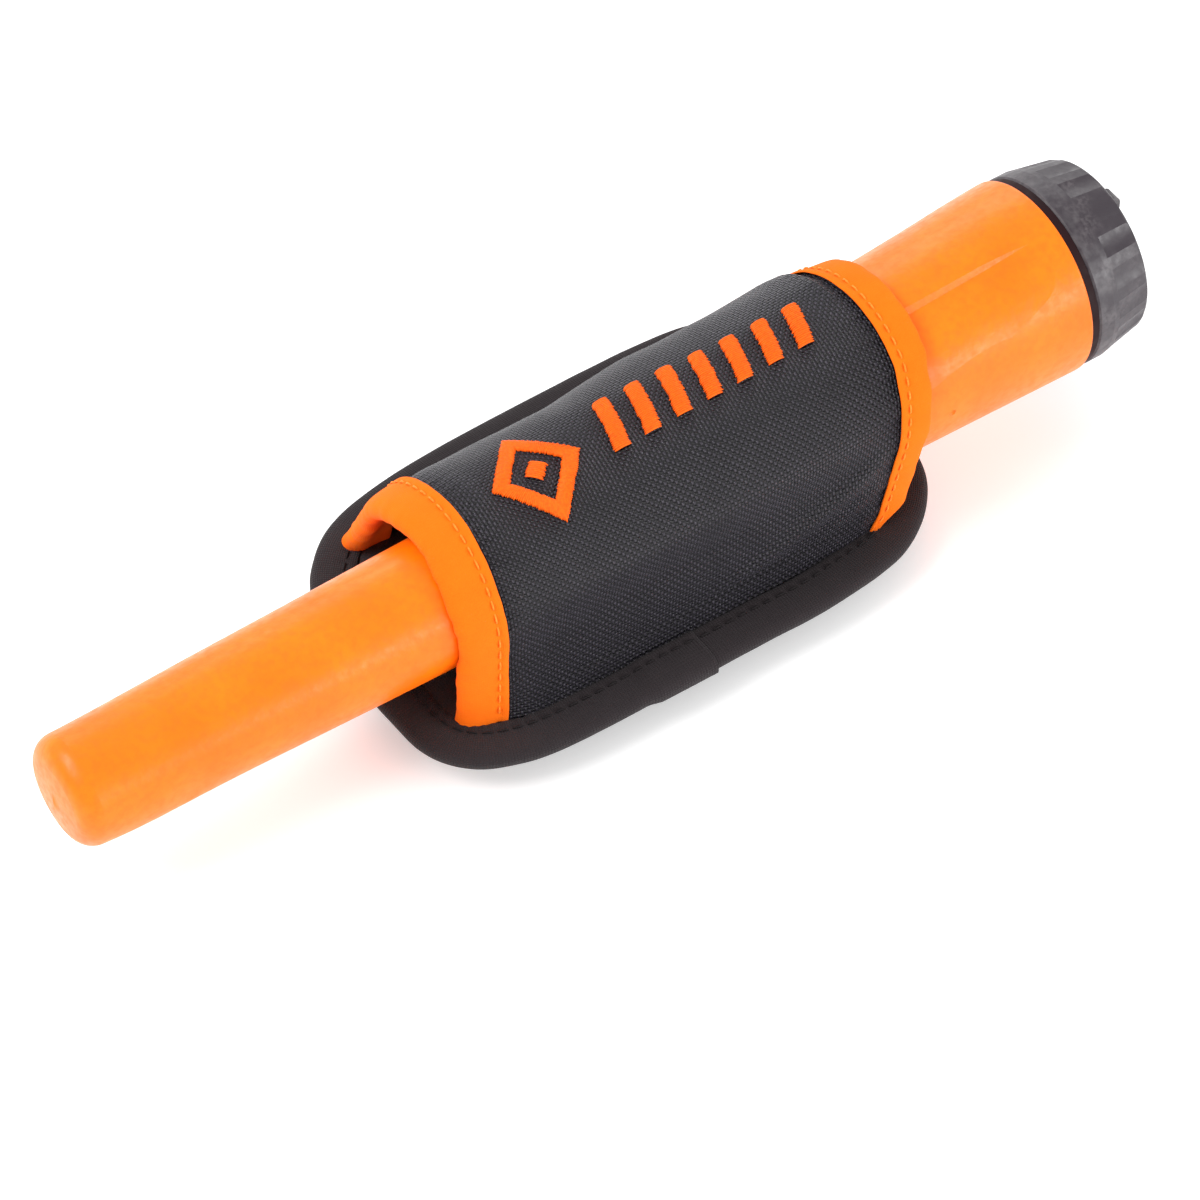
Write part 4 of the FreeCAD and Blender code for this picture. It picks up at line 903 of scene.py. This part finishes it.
def padded_panel():
    """Lining, foam and backing as one crowned pad, held thin at its bound edge."""
    outline, inward = panel_outline()
    rim = outline + PAD_INSET * inward
    hub_half = PANEL_HALF_LONG - PANEL_HALF_WIDE
    hub_x = np.clip(rim[:, 0] - PANEL_MIDDLE, -hub_half, hub_half) + PANEL_MIDDLE
    hub = np.stack([hub_x, np.zeros(len(rim))], axis=1)
    points = []
    for side in (1, -1):
        for share in PAD_SHARES[::side]:
            thick = PANEL_HALF_THICK * (1 - 0.35 * max(0.0, (share - 0.75) / 0.25) ** 2.5)
            if share == 1.0:
                thick *= 0.55
            for (x, y), (hx, hy) in zip(rim, hub):
                px, py = hx + (x - hx) * share, hy + (y - hy) * share
                ripple = 0.12 * wobble(px / 10, py / 10, side, seed=2) * min(1, (1 - share) * 6)
                points.append((px, py, PANEL_MID_Z + side * (thick - 0.06) + ripple))
    faces = grid_faces(len(PAD_SHARES) * 2, len(rim), wrap_rows=True, wrap_columns=True)
    flat = [(p[0], p[1]) for p in points]
    thing = piece("padded_panel", points, faces, "panel_nylon", flat)
    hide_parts("panel_back", "panel_foam", "panel_lining")


# Section of the black tape: how far in from the panel's edge, and its height.
EDGE_SECTION = [
    (8.4, 9.66), (8.5, 10.0), (7.7, 10.2), (6.2, 10.1), (4.0, 10.24), (2.0, 10.16), (0.7, 9.75),
    (0.05, 8.9), (0.0, 8.0), (0.3, 7.1), (1.2, 6.5), (3.0, 6.22), (5.6, 6.25), (7.8, 6.22), (8.5, 6.4),
    (8.3, 6.72), (5.0, 6.76), (2.0, 6.9), (1.1, 7.4), (0.9, 8.2), (1.1, 9.0), (2.0, 9.5), (5.0, 9.62),
]
EDGE_SECTION_COUNT = 60
EDGE_STITCH_AT, EDGE_STITCH_OUT = 6.4, 2.02
EDGE_STITCH_LONG, EDGE_STITCH_GAP, EDGE_STITCH_RADIUS = 2.0, 0.9, 0.19
EDGE_DIP, EDGE_DIP_WIDE = 0.14, 0.7
JOINT_LAP, LAP_STEPS = 13.0, 6  # the end lies over the start, rising to it in some steps
LAP_RISE, LAP_STITCH_RISE, LAP_OUT = 0.26, 0.2, 0.6
FRAY_LONG, FRAY = 1.2, 0.15
CORNER_LONG, GATHER, GATHER_PITCH = 22.0, 0.13, 3.1


def edge_tape():
    """Black tape folded round the panel, its end lapped over its start."""
    loop = smooth_loop(EDGE_SECTION, EDGE_SECTION_COUNT)
    around = distances(loop)
    outline, inward = panel_outline()
    step = norm(outline[1] - outline[0])
    lap = int(JOINT_LAP / step)
    path = np.concatenate([outline, outline[:lap]])
    inward = np.concatenate([inward, inward[:lap]])
    total = len(path)
    points, flat, line = [], [], []
    for i in range(total):
        s = i * step
        over = ease((i - (total - lap - LAP_STEPS)) / LAP_STEPS)
        frayed = max(0.0, 1 - (total - 1 - i) * step / FRAY_LONG)
        in_corner = abs(path[i, 0] - PANEL_MIDDLE) > PANEL_HALF_LONG - CORNER_LONG
        gather = GATHER * math.sin(s * 2 * math.pi / GATHER_PITCH) if in_corner else 0.0
        pull = 0.6 + 0.4 * math.cos(2 * math.pi * s / (EDGE_STITCH_LONG + EDGE_STITCH_GAP))
        shift = 0.16 * wobble(s / 5.0, seed=8)
        for (a, z), t in zip(loop, around):
            out = z - PANEL_MID_Z
            swell = 1 + 0.05 * wobble(s / 7.0, a / 4.0, seed=4)
            dip = EDGE_DIP * bell(a, EDGE_STITCH_AT, EDGE_DIP_WIDE) * pull
            height = PANEL_MID_Z + out * swell * (1 + LAP_RISE * over) - math.copysign(dip, out)
            height += gather * max(0.0, (a - 4.5) / 4.0)
            depth = a - (LAP_OUT * over if a < 3 else 0) + shift * (1 if a > 6 else 0.3)
            depth += FRAY * frayed * random.uniform(-1, 1)
            place = path[i] + inward[i] * depth
            points.append((place[0], place[1], height))
            flat.append((s, t))
        place = path[i] + inward[i] * EDGE_STITCH_AT
        line.append((place[0], place[1], PANEL_MID_Z + EDGE_STITCH_OUT * (1 + LAP_STITCH_RISE * over)))
    thing = piece("edge_tape", points, tube_faces(total, len(loop)), "black_tape", flat)
    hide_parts("edge_binding")
    upper, up = np.array(line), np.tile([0.0, 0.0, 1.0], (total, 1))
    lower = upper * (1, 1, -1) + (0, 0, 2 * PANEL_MID_Z)
    paths = []
    for side, way in ((upper, up), (lower, -up)):
        paths += stitches(side, way, EDGE_STITCH_LONG, EDGE_STITCH_GAP, STITCH_RISE)
    threads("edge_tape_stitches", paths, EDGE_STITCH_RADIUS, "black_thread")


LOOP_MIDDLE, LOOP_HALF, LOOP_HALF_WIDE, LOOP_THICK = 7.3, 46.0, 23.0, 1.5
LOOP_TAB, LOOP_RISE = 11.0, 8.0
LOOP_BELOW_PANEL, LOOP_OFF_FLOOR = 0.62, 0.02
TACK_FROM_END, TACK_SIDE, TACK_LONG, TACK_ZIGZAGS = 3.0, 14.0, 14.0, 56
LOOP_STITCH_ROWS, LOOP_STITCH_HALF, LOOP_STITCH_GAP, LOOP_STITCH_LONG = (1.6, 8.8), 21.0, 0.9, 2.2


def loop_path(high, low):
    """The strap's middle line (x, z), from one sewn end down and up again to the other."""
    tab = LOOP_HALF - LOOP_TAB
    bend = tab - LOOP_RISE
    half_way = (high + low) / 2 + 0.4
    right = [(bend - 2, low), (bend + 2.5, half_way), (tab + 1, high), (LOOP_HALF, high)]
    corners = [(-x, z) for x, z in right[::-1]] + [(0, low)] + right
    path = []
    last = len(corners) - 1
    for i in range(last):
        around = [np.array(corners[min(max(i + n, 0), last)]) for n in (-1, 0, 1, 2)]
        path += [spline(*around, t) for t in np.linspace(0, 1, 12, endpoint=False)]
    path = respace(np.array(path + [np.array(corners[-1])]), 170)
    path[:, 1] = np.clip(path[:, 1], low, high)
    return path


def belt_webbing():
    """The belt loop: one strap of webbing, sewn down at both ends."""
    half = LOOP_THICK / 2
    high, low = PANEL_LOW - LOOP_BELOW_PANEL - half, half + LOOP_OFF_FLOOR
    path = loop_path(high, low)
    normal = left_of(directions(path))
    across = np.linspace(-1, 1, 60)
    section = [(w, 1) for w in across] + [(w, -1) for w in across[::-1]]
    points, flat = [], []
    for length, (x, z), (nx, nz) in zip(distances(path), path, normal):
        for w, side in section:
            selvedge = (1 - abs(w) ** 24) ** 0.5
            y = w * (LOOP_HALF_WIDE + 0.12 * wobble(length / 8, w))
            thick = half * max(0.25, selvedge) * side
            points.append((LOOP_MIDDLE + x + nx * thick, y, z + nz * thick))
            flat.append((length, y + (0 if side > 0 else 80)))
    thing = piece("belt_webbing", points, tube_faces(len(path), len(section)), "webbing", flat)
    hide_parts("belt_loop")

    tacks = []
    surface = high - half
    for end in (-1, 1):
        middle_x = LOOP_MIDDLE + end * (LOOP_HALF - TACK_FROM_END)
        for side in (-1, 1):
            start_y = side * TACK_SIDE - TACK_LONG / 2
            tacks.append(np.array([(middle_x + (1.0 if k % 2 else -1.0),
                                    start_y + TACK_LONG * k / TACK_ZIGZAGS, surface - 0.12)
                                   for k in range(TACK_ZIGZAGS + 1)]))
        for inset in LOOP_STITCH_ROWS:
            x = LOOP_MIDDLE + end * (LOOP_HALF - inset)
            run = np.array([(x, y, surface) for y in np.linspace(-LOOP_STITCH_HALF, LOOP_STITCH_HALF, 60)])
            down = np.array([(0.0, 0.0, -1.0)] * len(run))
            tacks += stitches(run, down, LOOP_STITCH_LONG, LOOP_STITCH_GAP, STITCH_RISE)
    sewn = threads("loop_stitching", tacks, STITCH_RADIUS, "black_thread")
    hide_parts("loop_tacks")


# ---- embroidered motif ----

SATIN_PITCH, SATIN_POINTS, SATIN_RADIUS = 0.42, 9, 0.24
SATIN_LOW, SATIN_RISE, SATIN_UNEVEN = 0.1, 0.5, 0.03
SATIN_SHORT, SATIN_LONG = -0.14, 0.18  # how far a thread's end misses the stroke's edge
DIAMOND_AT, DIAMOND_WIDE, DIAMOND_TALL = (24.5, 50.0), 9.5, 12.0
DIAMOND_HOLE, DIAMOND_CORE = 0.6, 2.4  # the hole is a share of the ring
BAR_COUNT, BAR_START, BAR_PITCH, BAR_WIDTH, BAR_AROUND = 7, 16.0, 6.9, 3.4, 52.0
BAR_HALF, BAR_SHRINK, BAR_LEAN = 6.0, 0.25, 1.4


def on_cloth(along, around, lift):
    """The point on the shell at that place of the flat cloth, lifted off it."""
    rows, columns = skin.shape[:2]
    i = np.clip(np.interp(along, skin_flat[:, 0, 0], np.arange(rows)), 0, rows - 1.001)
    j = np.clip(np.interp(around, skin_flat[0, :, 1], np.arange(columns)), 0, columns - 1.001)
    a, b = int(i), int(j)
    s, t = i - a, j - b
    corners = (((1 - s) * (1 - t), a, b), (s * (1 - t), a + 1, b),
               ((1 - s) * t, a, b + 1), (s * t, a + 1, b + 1))
    return sum(weight * (skin[r, c] + skin_normal[r, c] * lift) for weight, r, c in corners)


def satin(corners):
    """Threads that fill a four-sided stroke from one long side to the other."""
    a, b, c, e = (np.array(p, float) for p in corners)
    count = max(2, int(max(norm(b - a), norm(c - e)) / SATIN_PITCH))
    paths = []
    for k in range(count + 1):
        t = k / count
        first, last = a + (b - a) * t, e + (c - e) * t
        way = (last - first) / norm(last - first)
        first = first - way * random.uniform(SATIN_SHORT, SATIN_LONG)
        last = last + way * random.uniform(SATIN_SHORT, SATIN_LONG)
        path = []
        for u in np.linspace(0, 1, SATIN_POINTS):
            spot = first + (last - first) * u
            lift = SATIN_LOW + SATIN_RISE * math.sin(math.pi * u) ** 0.5
            lift += random.uniform(-SATIN_UNEVEN, SATIN_UNEVEN)
            path.append(on_cloth(*spot, lift))
        paths.append(np.array(path))
    return paths


def motif():
    """A generic sign: a diamond ring and a row of bars that shrink away from it."""
    paths = []
    cx, cy = DIAMOND_AT
    size = np.array([DIAMOND_WIDE, DIAMOND_TALL])
    ring = [size * corner for corner in ((1, 0), (0, 1), (-1, 0), (0, -1))]
    for a, b in zip(ring, ring[1:] + ring[:1]):
        paths += satin([p + DIAMOND_AT for p in (a, b, DIAMOND_HOLE * b, DIAMOND_HOLE * a)])
    core = DIAMOND_CORE
    paths += satin([(cx - core, cy), (cx, cy + core), (cx + core, cy), (cx, cy - core)])
    for k in range(BAR_COUNT):
        x = cx + BAR_START + BAR_PITCH * k
        half = BAR_HALF - BAR_SHRINK * k
        left, right = x - BAR_LEAN, x + BAR_LEAN
        low, high = BAR_AROUND - half, BAR_AROUND + half
        paths += satin([(left, low), (right, high), (right + BAR_WIDTH, high), (left + BAR_WIDTH, low)])
    threads("embroidery", paths, SATIN_RADIUS, "orange_thread", sides=5)


# ---- pieces that keep their CAD shape, and the floor ----

FLOOR_HALF = 3.0  # metres
FLOOR_DROP = 0.0002


def paint_cad():
    for sub in frame["record"]["subparts"]:
        thing = frame["nodes"][sub["node"]]
        thing.data.materials.clear()
        thing.data.materials.append(LOOKS[sub["material_slot"]])


def floor():
    corners = [(x * FLOOR_HALF, y * FLOOR_HALF, 0) for x, y in ((-1, -1), (1, -1), (1, 1), (-1, 1))]
    data = bpy.data.meshes.new("floor")
    data.from_pydata(corners, [], [(0, 1, 2, 3)])
    thing = add_object("floor", data)
    look = Look("pale_floor", (0.9, 0.9, 0.9), 0.6, Emission_Strength=0.3)
    look.shader.inputs["Emission Color"].default_value = (1.0, 1.0, 1.0, 1)
    look.rough(look.spread(look.noise(20.0), 0.3, 0.7, 0.55, 0.65))
    data.materials.append(look.material)
    thing.location.z = -FLOOR_DROP


paint_cad()
holster_cloth()
folded_tape("mouth_tape", "tip_end_binding", MOUTH_SECTION, SHELL_START, 1,
            MOUTH_STITCH_AT, MOUTH_STITCH_OUT, 1.0)
folded_tape("grip_tape", "cap_end_binding", GRIP_SECTION, SHELL_END, -1,
            GRIP_STITCH_AT, GRIP_STITCH_OUT, 20.0)
padded_panel()
edge_tape()
belt_webbing()
motif()
floor()
